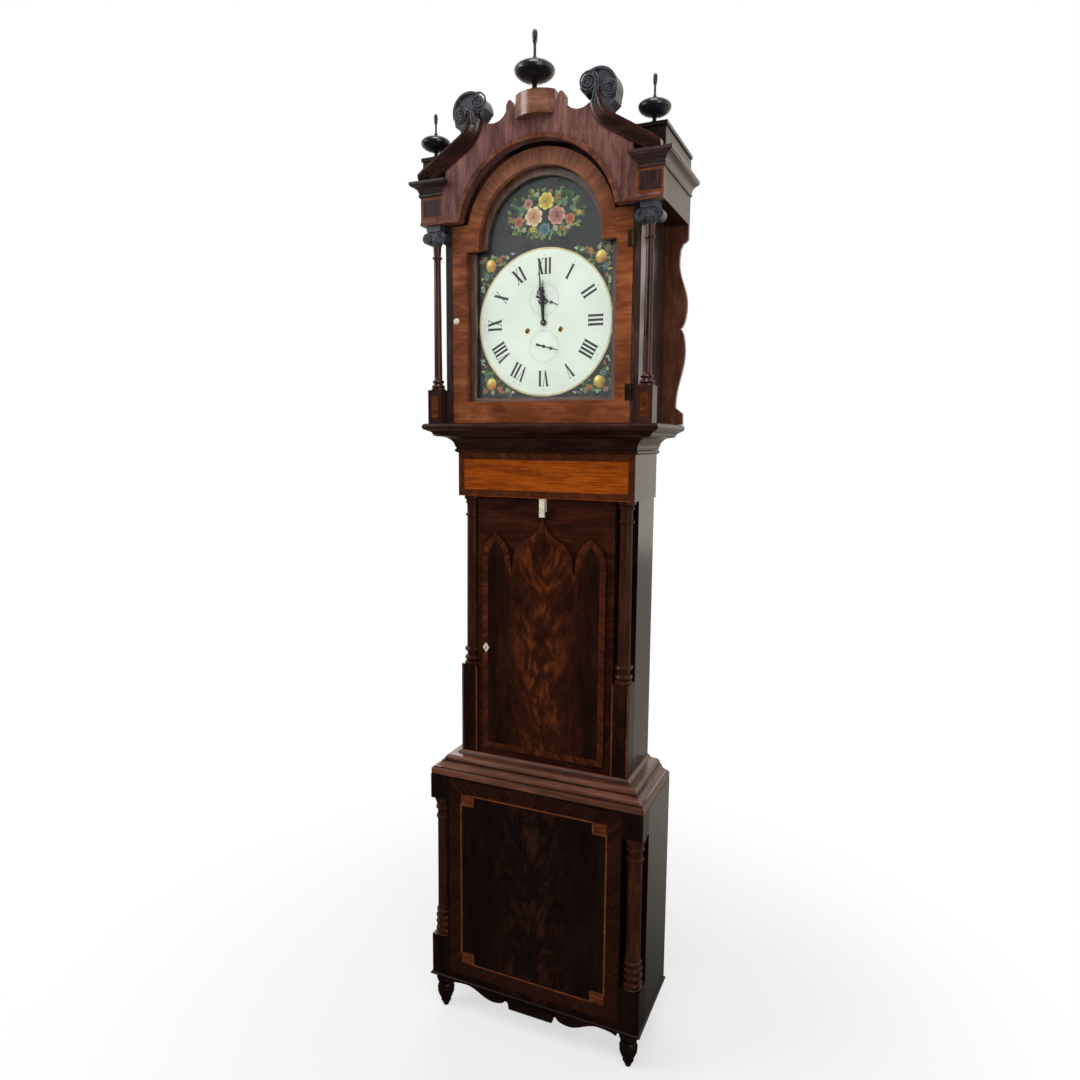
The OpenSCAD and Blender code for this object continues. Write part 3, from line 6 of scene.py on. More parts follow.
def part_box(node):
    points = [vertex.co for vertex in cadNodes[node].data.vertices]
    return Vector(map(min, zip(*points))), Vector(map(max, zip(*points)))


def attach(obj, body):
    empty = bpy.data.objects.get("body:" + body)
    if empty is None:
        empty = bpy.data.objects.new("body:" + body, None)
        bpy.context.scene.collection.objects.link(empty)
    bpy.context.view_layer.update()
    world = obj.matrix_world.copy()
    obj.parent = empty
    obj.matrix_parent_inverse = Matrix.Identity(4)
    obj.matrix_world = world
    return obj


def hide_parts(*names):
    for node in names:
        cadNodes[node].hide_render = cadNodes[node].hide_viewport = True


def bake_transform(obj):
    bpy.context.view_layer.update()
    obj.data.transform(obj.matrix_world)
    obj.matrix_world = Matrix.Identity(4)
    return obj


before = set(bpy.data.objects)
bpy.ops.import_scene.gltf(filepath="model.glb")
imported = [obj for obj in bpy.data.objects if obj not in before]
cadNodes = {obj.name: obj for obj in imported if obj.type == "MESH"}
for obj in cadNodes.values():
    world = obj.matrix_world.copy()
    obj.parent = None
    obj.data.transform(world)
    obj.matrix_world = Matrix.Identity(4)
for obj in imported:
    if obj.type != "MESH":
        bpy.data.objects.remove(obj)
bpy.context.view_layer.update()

# Finishes
finishes = {}


def newMaterial(name):
    # every finish is kept under the name of its material
    mat = bpy.data.materials.new(name)
    mat.use_nodes = True
    finishes[name] = mat
    return mat.node_tree, mat.node_tree.nodes["Principled BSDF"]


def setNode(node, **settings):
    for key, value in settings.items():
        if hasattr(node, key):
            setattr(node, key, value)
        else:
            node.inputs[key.replace("_", " ")].default_value = value
    return node


def addNode(tree, kind, **settings):
    return setNode(tree.nodes.new(kind), **settings)


def stretchedCoords(tree, axis="z", along=1.0, uvMap=None):
    # object coordinates, or UVs, drawn out along one axis
    if uvMap:
        source = addNode(tree, "ShaderNodeUVMap", uv_map=uvMap).outputs["UV"]
    else:
        source = addNode(tree, "ShaderNodeTexCoord").outputs["Object"]
    mapping = addNode(tree, "ShaderNodeMapping", Scale=[along if k == axis else 1.0 for k in "xyz"])
    tree.links.new(source, mapping.inputs["Vector"])
    return mapping.outputs["Vector"]


def noiseOn(tree, coords, scale, detail=4, distort=0.0, rough=0.5):
    node = addNode(tree, "ShaderNodeTexNoise", Scale=scale, Detail=detail, Roughness=rough, Distortion=distort)
    tree.links.new(coords, node.inputs["Vector"])
    return node.outputs["Fac"]


def ramp(tree, factor, places, colours):
    node = addNode(tree, "ShaderNodeValToRGB")
    elements = node.color_ramp.elements
    while len(elements) < len(places):
        elements.new(0.5)
    for element, place, colour in zip(elements, places, colours):
        element.position = place
        element.color = (*colour, 1)
    tree.links.new(factor, node.inputs["Fac"])
    return node.outputs["Color"]


def setSockets(tree, sockets, values):
    # a number or a colour is set on its socket, and anything else is linked to it
    for socket, value in zip(sockets, values):
        if isinstance(value, (int, float)):
            socket.default_value = value
        elif isinstance(value, tuple):
            socket.default_value = (*value, 1)
        else:
            tree.links.new(value, socket)


def mixed(tree, factor, a, b, blend="MIX"):
    node = addNode(tree, "ShaderNodeMix", data_type="RGBA", blend_type=blend)
    setSockets(tree, (node.inputs[0], node.inputs[6], node.inputs[7]), (factor, a, b))
    return node.outputs[2]


def bumpFrom(tree, shader, height, strength, distance):
    node = addNode(tree, "ShaderNodeBump", Strength=strength, Distance=distance)
    tree.links.new(height, node.inputs["Height"])
    tree.links.new(node.outputs["Normal"], shader.inputs["Normal"])


def mathOn(tree, operation, *values):
    node = addNode(tree, "ShaderNodeMath", operation=operation)
    setSockets(tree, node.inputs, values)
    return node.outputs[0]


def times(tree, a, b):
    return mathOn(tree, "MULTIPLY", a, b)


def plus(tree, a, b):
    return mathOn(tree, "ADD", a, b)


def minus(tree, a, b):
    return mathOn(tree, "SUBTRACT", a, b)


def ranged(tree, value, fromLow, fromHigh, toLow=0.0, toHigh=1.0, smooth=False):
    kind = "SMOOTHSTEP" if smooth else "LINEAR"
    node = addNode(tree, "ShaderNodeMapRange", interpolation_type=kind, From_Min=fromLow, From_Max=fromHigh,
                   To_Min=toLow, To_Max=toHigh)
    tree.links.new(value, node.inputs["Value"])
    return node.outputs["Result"]


def combined(tree, *values):
    node = addNode(tree, "ShaderNodeCombineXYZ")
    setSockets(tree, node.inputs, values)
    return node.outputs[0]


def parted(tree):
    node = addNode(tree, "ShaderNodeSeparateXYZ")
    tree.links.new(addNode(tree, "ShaderNodeTexCoord").outputs["Object"], node.inputs[0])
    return node.outputs


def archedCoords(tree, along, centre, radius):
    # grain that crosses the frame: level on the uprights, and radial round the arch above their spring
    x, y, z = parted(tree)
    up = minus(tree, z, centre)
    above = mathOn(tree, "GREATER_THAN", up, 0.0)
    below = minus(tree, 1.0, above)
    arc = times(tree, mathOn(tree, "ARCTAN2", x, up), radius)
    reach = mathOn(tree, "SQRT", plus(tree, times(tree, x, x), times(tree, up, up)))
    length = plus(tree, times(tree, above, arc), times(tree, below, up))
    across = plus(tree, times(tree, above, reach), times(tree, below, x))
    return combined(tree, length, times(tree, across, along), times(tree, y, along))


def featherOver(tree, colour, feather):
    # crotch figure: flames that rise outwards from the middle line, brightest there
    x, y, z = parted(tree)
    waver = noiseOn(tree, combined(tree, x, y, z), 7.0, 3)
    side = mathOn(tree, "ABSOLUTE", minus(tree, x, times(tree, minus(tree, waver, 0.5), feather["sway"])))
    lean = math.radians(feather["lean"])
    over = minus(tree, times(tree, side, math.cos(lean)), times(tree, z, math.sin(lean)))
    along = plus(tree, times(tree, side, math.sin(lean)), times(tree, z, math.cos(lean)))
    flames = noiseOn(tree, combined(tree, times(tree, over, 3.2), 0.3, along), 8.5, 7, 1.6, 0.62)
    curls = noiseOn(tree, combined(tree, x, y, times(tree, z, 0.6)), 15.0, 6, 2.6, 0.66)
    body = plus(tree, times(tree, flames, 0.5), times(tree, curls, 0.5))
    edge = plus(tree, side, times(tree, minus(tree, curls, 0.5), 0.12))
    fade = ranged(tree, edge, feather["half"], feather["half"] * 0.25, smooth=True)
    figure = ramp(tree, body, (0.36, 0.5, 0.66), feather["tones"])
    return mixed(tree, times(tree, fade, feather["amount"]), colour, figure)


def setSurface(tree, shader, value, rough, shine, gloss, coatRough):
    # roughness follows a pattern between two limits, and the coat is the polish or varnish over it
    tree.links.new(ranged(tree, value, 0.0, 1.0, *rough), shader.inputs["Roughness"])
    setNode(shader, Specular_IOR_Level=shine, Coat_Weight=gloss, Coat_Roughness=coatRough)


# What every wood has in common: how far the grain is drawn out, and where its tones begin
# besides the grain it holds the spread and depth of the painted shade in recesses, the coat roughness and the
# pore depth
grain = {"fine": 0.035, "arched": 0.3, "ribbons": 5.5, "clouds": 0.62, "tones": (0.34, 0.5, 0.64),
         "lines": (0.36, 0.58), "paintedQuirkShade": (0.0006, 0.0028, 0.2, 1.0), "coat": 0.14, "pore": 0.0004}


def wood(name, tones, axis="z", fine=260.0, figure=14.0, feather=None, rough=(0.26, 0.4), gloss=0.06,
         pores=0.1, uvMap=None, arch=None, streak=0.55, shine=0.22, inner=None, stretch=0.22, paintedCrownLight=None,
         paintedQuirkShades=()):
    # tones run from the darkest pore to the lightest figure
    tree, shader = newMaterial(name)
    if arch:
        along = archedCoords(tree, grain["fine"], *arch)
        broad = archedCoords(tree, grain["arched"], *arch)
    else:
        along = stretchedCoords(tree, axis, grain["fine"], uvMap)
        broad = stretchedCoords(tree, axis, stretch, uvMap)
    streaks = noiseOn(tree, along, fine, 5, 0.0, 0.62)
    cloud = noiseOn(tree, broad, figure, 4, 1.4, 0.6)
    ribbons = noiseOn(tree, broad, figure * grain["ribbons"], 3, 0.8, 0.6)
    blend = plus(tree, times(tree, cloud, grain["clouds"]), times(tree, ribbons, 1 - grain["clouds"]))
    base = ramp(tree, blend, grain["tones"], tones[1:])
    if feather:
        base = featherOver(tree, base, feather)
    if inner:
        # another tone inside a half width, as on a mask between two sides
        half, dark, light = inner
        within = mathOn(tree, "LESS_THAN", mathOn(tree, "ABSOLUTE", parted(tree)[0]), half)
        base = mixed(tree, within, base, ramp(tree, blend, grain["tones"][::2], (dark, light)))
    if paintedCrownLight:
        # painted light: a paler tone that comes in with height, standing in for the light that falls on the
        # crown of an arch
        low, high, amount, tone = paintedCrownLight
        base = mixed(tree, ranged(tree, parted(tree)[2], low, high, 0.0, amount), base, tone)
    lines = ramp(tree, streaks, grain["lines"], (tones[0], (1, 1, 1)))
    colour = mixed(tree, streak, base, lines, "MULTIPLY")
    for height in paintedQuirkShades:
        # painted shade: a dark line at each of these heights, standing in for the shadow in a recess of the
        # moulding
        gap = mathOn(tree, "ABSOLUTE", minus(tree, parted(tree)[2], height))
        shade = ranged(tree, gap, *grain["paintedQuirkShade"], smooth=True)
        colour = mixed(tree, 1.0, colour, combined(tree, shade, shade, shade), "MULTIPLY")
    tree.links.new(colour, shader.inputs["Base Color"])
    setSurface(tree, shader, cloud, rough, shine, gloss, grain["coat"])
    bumpFrom(tree, shader, streaks, pores, grain["pore"])


def metal(name, dark, light, rough=(0.18, 0.38), scale=22.0):
    tree, shader = newMaterial(name)
    coords = stretchedCoords(tree)
    stain = noiseOn(tree, coords, scale, 6, 0.6, 0.6)
    tree.links.new(ramp(tree, stain, (0.3, 0.62), (dark, light)), shader.inputs["Base Color"])
    tree.links.new(ranged(tree, stain, 0.0, 1.0, rough[1], rough[0]), shader.inputs["Roughness"])
    shader.inputs["Metallic"].default_value = 1.0
    bumpFrom(tree, shader, noiseOn(tree, coords, 900, 2), 0.05, 0.0002)


def plain(name, dark, light, rough=(0.3, 0.45), scale=18.0, gloss=0.0, bump=0.06, fine=420.0, shine=0.5,
          attribute=None):
    # paint, bone and ebonised finishes: a base colour with slow variation and a fine surface
    tree, shader = newMaterial(name)
    coords = stretchedCoords(tree)
    stain = noiseOn(tree, coords, scale, 5, 0.4, 0.6)
    colour = ramp(tree, stain, (0.32, 0.66), (dark, light))
    if attribute:
        painted = addNode(tree, "ShaderNodeVertexColor", layer_name=attribute)
        colour = mixed(tree, 1.0, colour, painted.outputs["Color"], "MULTIPLY")
    tree.links.new(colour, shader.inputs["Base Color"])
    setSurface(tree, shader, stain, rough, shine, gloss, 0.1)
    bumpFrom(tree, shader, noiseOn(tree, coords, fine, 3), bump, 0.0003)


darkTones = ((0.35, 0.26, 0.24), (0.0045, 0.0012, 0.0006), (0.009, 0.0026, 0.0012), (0.018, 0.005, 0.002))
browTones = ((0.3, 0.22, 0.2), (0.014, 0.003, 0.0009), (0.034, 0.0068, 0.0014), (0.062, 0.014, 0.003))
doorTones = ((0.3, 0.22, 0.2), (0.007, 0.0018, 0.0007), (0.015, 0.0035, 0.001), (0.032, 0.0075, 0.002))
columnTones = ((0.32, 0.24, 0.22), (0.018, 0.0045, 0.002), (0.038, 0.0095, 0.0042), (0.07, 0.02, 0.009))
redTones = ((0.32, 0.26, 0.24), (0.014, 0.004, 0.0026), (0.03, 0.0085, 0.005), (0.058, 0.019, 0.011))
corniceTones = ((0.36, 0.3, 0.3), (0.022, 0.01, 0.009), (0.042, 0.02, 0.018), (0.075, 0.038, 0.034))
# painted light: lighter copies of the red mahogany tones, standing in for light from above on the waist
# moulding and from the right on the wings
litRedTones = ((0.4, 0.32, 0.3), (0.05, 0.016, 0.008), (0.11, 0.036, 0.018), (0.19, 0.068, 0.036))
warmTones = ((0.45, 0.34, 0.28), (0.07, 0.018, 0.006), (0.18, 0.048, 0.014), (0.32, 0.1, 0.034))
# partly the tympanum's own purple-brown and partly painted light: lighter than the trunk for the light that
# falls on it from above
litPurpleTones = ((0.34, 0.28, 0.28), (0.055, 0.02, 0.017), (0.125, 0.052, 0.043), (0.23, 0.105, 0.085))
beadTones = ((0.4, 0.3, 0.26), (0.05, 0.016, 0.009), (0.12, 0.04, 0.021), (0.21, 0.076, 0.046))
blockTones = ((0.45, 0.34, 0.3), (0.075, 0.027, 0.014), (0.17, 0.066, 0.034), (0.28, 0.125, 0.075))
softTones = ((0.6, 0.5, 0.4), (0.16, 0.09, 0.045), (0.26, 0.16, 0.085), (0.36, 0.24, 0.14))
doorFeather = {"half": 0.125, "lean": 24, "sway": 0.05, "amount": 0.95,
               "tones": ((0.008, 0.0018, 0.0006), (0.04, 0.0078, 0.0012), (0.165, 0.036, 0.0045))}
plinthFeather = {"half": 0.15, "lean": 20, "sway": 0.06, "amount": 0.8,
                 "tones": ((0.004, 0.0011, 0.0006), (0.01, 0.003, 0.0013), (0.055, 0.014, 0.004))}

wood("darkUpright", darkTones)
wood("darkLevel", darkTones, "x")
wood("postUpright", doorTones)
wood("frameLevel", browTones, "x", figure=22)
wood("redUpright", redTones)
wood("redLevel", redTones, "x")
# painted light: the wings wear the lighter red tones for the fill light that falls on them from the right
wood("wingUpright", litRedTones, figure=18, gloss=0.15, shine=0.35)
# painted light and shade: the waist moulding wears the lighter red tones for the light from above, with painted
# shadow lines at the heights of its recesses
wood("waistLevel", litRedTones, "x", fine=200, figure=9, streak=0.3, gloss=0.15, shine=0.35,
     paintedQuirkShades=[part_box("waist_moulding")[0].z + rise for rise in (0.018, 0.034, 0.0485)])
wood("doorFlame", doorTones, figure=9.0, feather=doorFeather, streak=0.4, gloss=0.03, shine=0.18)
wood("plinthFlame", darkTones, figure=9.0, feather=plinthFeather, streak=0.4)
# painted light: the arch of the hood door frame grows paler towards its crown
wood("archBanded", warmTones, arch=(2.018, 0.17), fine=220, figure=11,
     paintedCrownLight=(2.03, 2.15, 0.4, (0.3, 0.16, 0.11)))
wood("beadBanded", beadTones, arch=(2.018, 0.197), figure=20)
# the tympanum, lightened with painted light from above
wood("purpleUpright", litPurpleTones, fine=90, figure=16, streak=0.45)
wood("satinLevel", darkTones, "x", fine=420, figure=10.0, streak=0.8, rough=(0.2, 0.3), shine=0.3,
     inner=(0.2285, (0.2, 0.032, 0.0006), (0.45, 0.095, 0.002)))
wood("columnDark", columnTones, gloss=0.03, shine=0.18, rough=(0.24, 0.32), pores=0.02, streak=0.3)
wood("columnRed", columnTones, gloss=0.15, shine=0.3, rough=(0.24, 0.32), pores=0.02, streak=0.3)
wood("neckRed", redTones, "x", gloss=0.4, shine=0.5, rough=(0.22, 0.32), pores=0.03, streak=0.35)
wood("corniceLevel", corniceTones, "x", gloss=0.2, shine=0.4)
wood("blockWarm", blockTones, "x", gloss=0.2, shine=0.4, rough=(0.24, 0.34))
wood("hoodBoards", corniceTones, gloss=0.4, shine=0.5, rough=(0.2, 0.3),
     inner=(0.2, (0.05, 0.02, 0.014), (0.15, 0.07, 0.052)))
wood("sideUpright", darkTones, gloss=0.1, shine=0.3, rough=(0.16, 0.26))
wood("bareSoftwood", softTones, rough=(0.6, 0.8), gloss=0.0, pores=0.3, stretch=0.04, figure=22)
plain("ebonised", (0.004, 0.0045, 0.006), (0.012, 0.013, 0.017), (0.24, 0.4), gloss=0.25)
plain("carvedSlateBlack", (0.022, 0.023, 0.027), (0.065, 0.068, 0.078), scale=55, gloss=0.12, bump=0.2,
      shine=0.3)
metal("agedBrass", (0.38, 0.24, 0.08), (0.72, 0.52, 0.22))
metal("dullBrass", (0.1, 0.06, 0.02), (0.3, 0.2, 0.08), (0.3, 0.5))
metal("darkBrass", (0.02, 0.013, 0.008), (0.07, 0.045, 0.02), (0.35, 0.55), 60.0)
metal("satinSteel", (0.3, 0.3, 0.31), (0.5, 0.5, 0.52), (0.28, 0.45))
plain("paintedIron", (0.012, 0.012, 0.013), (0.03, 0.03, 0.032), (0.4, 0.6), bump=0.25, fine=180)
plain("blueBlackSteel", (0.003, 0.003, 0.005), (0.012, 0.012, 0.018), (0.22, 0.35))
plain("polishedBone", (0.5, 0.42, 0.28), (0.72, 0.64, 0.5), (0.28, 0.4), scale=60, gloss=0.3)
plain("blackGround", (0.004, 0.006, 0.006), (0.014, 0.017, 0.017), (0.22, 0.36), scale=26, gloss=0.4, bump=0.04)
plain("twistedGut", (0.3, 0.2, 0.09), (0.5, 0.36, 0.18), (0.4, 0.6), scale=300)


def glassFinish():
    tree, shader = newMaterial("oldGlass")
    shader.inputs["Transmission Weight"].default_value = 1.0
    shader.inputs["IOR"].default_value = 1.14
    shader.inputs["Roughness"].default_value = 0.0
    wave = noiseOn(tree, stretchedCoords(tree), 3.0, 2)
    colour = ramp(tree, wave, (0.2, 0.8), ((0.94, 0.97, 0.95), (0.99, 1, 0.99)))
    tree.links.new(colour, shader.inputs["Base Color"])
    bumpFrom(tree, shader, wave, 0.03, 0.002)


glassFinish()

# CAD nodes by the finish that they wear
worn = {
    "bareSoftwood": "backboard seatboard",
    "sideUpright": "trunk_sides plinth_sides",
    "frameLevel": "trunk_front_frame",
    "satinLevel": "trunk_frieze",
    "columnDark": "trunk_columns plinth_columns",
    "postUpright": "trunk_column_blocks",
    "redLevel": "throat_moulding hood_base_frame",
    "waistLevel": "waist_moulding",
    "plinthFlame": "plinth_front_panel",
    "darkUpright": "plinth_corner_blocks feet",
    "darkLevel": "plinth_apron hood_roof",
    "agedBrass": "movement_plates bell centre_arbor hour_wheel minute_wheel third_arbor escape_arbor "
                 "pendulum great_wheel",
    "paintedIron": "going_weight strike_weight",
    "blackGround": "dial_plate",
    "twistedGut": "going_line strike_line",
    "doorFlame": "trunk_door",
    "darkBrass": "trunk_door_hinges hood_door_hinges",
    "polishedBone": "trunk_door_escutcheon trunk_door_pull hood_door_knob",
    "hoodBoards": "hood_sides_and_mask",
    "purpleUpright": "hood_tympanum",
    "beadBanded": "hood_arch_moulding",
    "redUpright": "hood_entablature hood_column_blocks",
    "corniceLevel": "hood_cornices",
    "neckRed": "swan_necks",
    "carvedSlateBlack": "scroll_terminals hood_column_capitals",
    "blockWarm": "centre_block",
    "ebonised": "finials",
    "columnRed": "hood_columns",
    "wingUpright": "hood_wings",
    "archBanded": "hood_door_frame",
    "oldGlass": "hood_door_glass",
    "blueBlackSteel": "minute_hand hour_hand seconds_hand date_hand",
    "satinSteel": "pallet_anchor hammer",
    "dullBrass": "going_barrel strike_barrel",
}
nodeFinish = {node: finish for finish, nodes in worn.items() for node in nodes.split()}
for nodeName, finish in nodeFinish.items():
    mesh = cadNodes[nodeName].data
    mesh.materials.clear()
    mesh.materials.append(finishes[finish])
print("finishes assigned to", len(nodeFinish), "CAD nodes")


# Shared shaping
def inScene(name, data):
    thing = bpy.data.objects.new(name, data)
    bpy.context.scene.collection.objects.link(thing)
    return thing


def makePiece(bm, name, body, finish, angle=None, sheet=False):
    # flat faces unless an angle is given, above which edges stay sharp; a sheet faces the front
    bmesh.ops.recalc_face_normals(bm, faces=bm.faces[:])
    if sheet:
        bmesh.ops.reverse_faces(bm, faces=[face for face in bm.faces if face.normal.y > 0])
    mesh = bpy.data.meshes.new(name)
    bm.to_mesh(mesh)
    bm.free()
    piece = inScene(name, mesh)
    mesh.materials.append(finishes[finish])
    if angle:
        mesh.shade_smooth()
        mesh.set_sharp_from_angle(angle=math.radians(angle))
    if body:
        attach(piece, body)
    return piece


def mm(*values):
    return tuple(v / 1000 for v in values)


def addPlate(bm, loops, front, thick):
    # loops are outlines in x and z, the first the rim and the rest holes; the plate runs back from front
    edges = []
    for loop in loops:
        verts = [bm.verts.new(mm(x, front, z)) for x, z in loop]
        edges += [bm.edges.new((verts[i], verts[(i + 1) % len(verts)])) for i in range(len(verts))]
    made = bmesh.ops.triangle_fill(bm, use_beauty=True, edges=edges)
    faces = [g for g in made["geom"] if isinstance(g, bmesh.types.BMFace)]
    grown = bmesh.ops.extrude_face_region(bm, geom=faces, use_keep_orig=True)
    rear = [g for g in grown["geom"] if isinstance(g, bmesh.types.BMVert)]
    bmesh.ops.translate(bm, vec=mm(0, thick, 0), verts=rear)


def arcPoints(cx, cz, r, a0, a1, n):
    turns = [math.radians(a0 + (a1 - a0) * i / n) for i in range(n + 1)]
    return [(cx + r * math.cos(a), cz + r * math.sin(a)) for a in turns]


def circle(cx, cz, r, n):
    return arcPoints(cx, cz, r, 0, 360, n)[:-1]


def rect(x0, z0, x1, z1):
    return [(x0, z0), (x1, z0), (x1, z1), (x0, z1)]


def offsetPath(path, distance):
    # mitred copy of a closed path, moved to its left by distance, with its sharpest corners blunted
    bluntest = 0.35
    out = []
    for i in range(len(path)):
        a, b, c = (Vector(path[k % len(path)]) for k in (i - 1, i, i + 1))
        d1, d2 = (b - a).normalized(), (c - b).normalized()
        n1, n2 = Vector((-d1.y, d1.x)), Vector((-d2.y, d2.x))
        mitre = (n1 + n2).normalized()
        reach = distance / max(bluntest, mitre.dot(n1))
        out.append(tuple(b + mitre * reach))
    return out


def skinRows(bm, path, rows, across):
    # faces between rows of vertices that follow a closed path: u is the run along it, v is given by row
    uv = bm.loops.layers.uv.get("grain") or bm.loops.layers.uv.new("grain")
    run = 0.0
    for i in range(len(path)):
        j = (i + 1) % len(path)
        far = run + (Vector(path[j]) - Vector(path[i])).length / 1000
        for k in range(len(rows) - 1):
            face = bm.faces.new((rows[k][i], rows[k][j], rows[k + 1][j], rows[k + 1][i]))
            corners = ((run, across[k]), (far, across[k]), (far, across[k + 1]), (run, across[k + 1]))
            for loop, place in zip(face.loops, corners):
                loop[uv].uv = place
        run = far


def addBand(bm, path, left, right, front, thick, crown=0.0):
    # a strip that follows a closed path in x and z, with UVs along it and a rounded face if it has a crown
    steps = 5 if crown else 1
    lanes = []
    for k in range(steps + 1):
        t = k / steps
        lift = crown * math.sin(math.pi * t)
        lane = offsetPath(path, left + (right - left) * t)
        lanes.append([bm.verts.new(mm(x, front - lift, z)) for x, z in lane])
    rear = [[bm.verts.new((v.co.x, v.co.y + thick / 1000, v.co.z)) for v in lane]
            for lane in (lanes[0], lanes[-1])]
    rows = [rear[0]] + lanes + [rear[1]]
    last = len(rows) - 1
    skinRows(bm, path, rows, [(left + (right - left) * k / last) / 1000 for k in range(last + 1)])


crossTones = ((0.35, 0.25, 0.2), (0.01, 0.0022, 0.0007), (0.021, 0.0045, 0.0012), (0.042, 0.0095, 0.0025))
bandTones = ((0.4, 0.28, 0.2), (0.04, 0.008, 0.0012), (0.09, 0.019, 0.003), (0.19, 0.046, 0.008))
friezeTones = ((0.35, 0.25, 0.2), (0.03, 0.0065, 0.001), (0.068, 0.015, 0.0024), (0.12, 0.03, 0.0055))
doorBandTones = ((0.4, 0.28, 0.2), (0.022, 0.0042, 0.0008), (0.05, 0.0095, 0.0016), (0.115, 0.024, 0.004))
squareTones = ((0.4, 0.32, 0.3), (0.02, 0.009, 0.009), (0.04, 0.019, 0.018), (0.07, 0.032, 0.03))
lineTones = ((0.6, 0.5, 0.4), (0.08, 0.022, 0.004), (0.13, 0.036, 0.007), (0.2, 0.062, 0.014))
wood("crossbandDark", crossTones, "y", fine=300, figure=60, uvMap="grain")
wood("crossbandRed", doorBandTones, "y", fine=300, figure=40, uvMap="grain")
wood("crossbandBrown", friezeTones, "y", fine=300, figure=40, uvMap="grain")
wood("satinStringing", lineTones, "x", fine=300, figure=60)
wood("cornerSquare", bandTones, "x", figure=50)
wood("squareDark", squareTones, figure=30)

# Levels and planes of the case, in millimetres, as the model has them
case = {"plinthFront": -95.46, "trunkFront": -33.46, "friezeFront": -37.46, "lipFront": -36.76,
        "entabFront": -96.46, "tabletFront": -95.46, "arbor": 1820.0}


# Plinth: crossbanded border, filled corners and a line with stepped-in corners
plinthInlay = {"half": 200, "low": 154, "high": 626, "stepX": 35, "stepZ": 28, "line": 4.0, "edge": 236,
               "bandLow": 118, "bandHigh": 662, "bandWide": 36, "lineRise": 0.3, "bandRise": 0.12,
               "squareRise": 0.2}


def plinthVeneer():
    p = plinthInlay
    h, a, b, sx, sz = p["half"], p["low"], p["high"], p["stepX"], p["stepZ"]
    right = [(h - sx, a), (h - sx, a + sz), (h, a + sz), (h, b - sz), (h - sx, b - sz), (h - sx, b)]
    left = [(-x, z) for x, z in reversed(right)]
    front = case["plinthFront"]
    bm = bmesh.new()
    path, half = left[-1:] + right + left[:-1], p["line"] / 2
    addBand(bm, path, -half, half, front - p["lineRise"], p["lineRise"])
    makePiece(bm, "plinth_line", "case", "satinStringing")
    bm = bmesh.new()
    border = rect(-p["edge"], p["bandLow"], p["edge"], p["bandHigh"])
    addBand(bm, border, 0, p["bandWide"], front - p["bandRise"], p["bandRise"])
    makePiece(bm, "plinth_crossband", "case", "crossbandDark")
    bm = bmesh.new()
    for side in (-1, 1):
        x0, x1 = sorted((side * (h - sx), side * h))
        for z0 in (a, b - sz):
            addPlate(bm, [rect(x0, z0, x1, z0 + sz)], front - p["squareRise"], p["squareRise"])
    makePiece(bm, "plinth_corner_squares", "case", "cornerSquare")


# Trunk: frieze panel, banded door and lines on the column blocks
friezeBand = {"half": 233.5, "low": 1402, "high": 1509.5, "wide": 16, "rise": 0.2}


def friezeVeneer():
    f = friezeBand
    bm = bmesh.new()
    border = rect(-f["half"], f["low"], f["half"], f["high"])
    addBand(bm, border, 0, f["wide"], case["friezeFront"] - f["rise"], f["rise"])
    makePiece(bm, "frieze_crossband", "case", "crossbandBrown")


door = {"width": 334.0, "low": 741.0, "spring": 1240.0, "ogeeRise": 127.0, "lancetRise": 67.0,
        "ogeeHalf": 80.0, "bulge": 63.5, "notchHalf": 4.0, "notchDrop": 27.0, "band": 16.0}


def doorEdge(inset):
    # half of the arched door from the lower corner to the apex, drawn in by inset
    w = door["width"] / 2
    a = (w - door["ogeeHalf"] - 2 * door["notchHalf"]) / 2
    r = (a * a + door["lancetRise"] ** 2) / (2 * a)
    s, e = door["spring"], inset
    top = math.sqrt((r - e) ** 2 - (r - a) ** 2)
    tip = math.degrees(math.atan2(top, r - a))
    u = (door["ogeeRise"] ** 2 - door["ogeeHalf"] ** 2) / (2 * door["ogeeHalf"])
    cx = door["ogeeHalf"] - door["bulge"]
    r2 = cx + u
    meet = math.degrees(math.atan2(door["ogeeRise"], u))
    a2 = math.degrees(math.acos(r2 / (r2 + e)))
    half = [(w - e, door["low"] + e)]
    half += arcPoints(w - r, s, r - e, 0, tip, 14)
    half += arcPoints(w - 2 * a + r, s, r - e, 180 - tip, 180, 14)[1:]
    half += [(door["ogeeHalf"] + door["notchHalf"], s - door["notchDrop"] - e)]
    half += arcPoints(cx, s, door["bulge"] - e, 0, meet, 12)
    half += arcPoints(r2, s + door["ogeeRise"], r2 + e, 180 + meet, 180 + a2, 14)[1:]
    return half


def doorOutline(inset):
    half = doorEdge(inset)
    return half + [(-x, z) for x, z in reversed(half[:-1])]


doorBead = {"margin": 0.3, "steps": 6, "rise": 1.1, "rimDepth": 3.0, "panelDepth": 1.0, "uvStep": 0.0022}


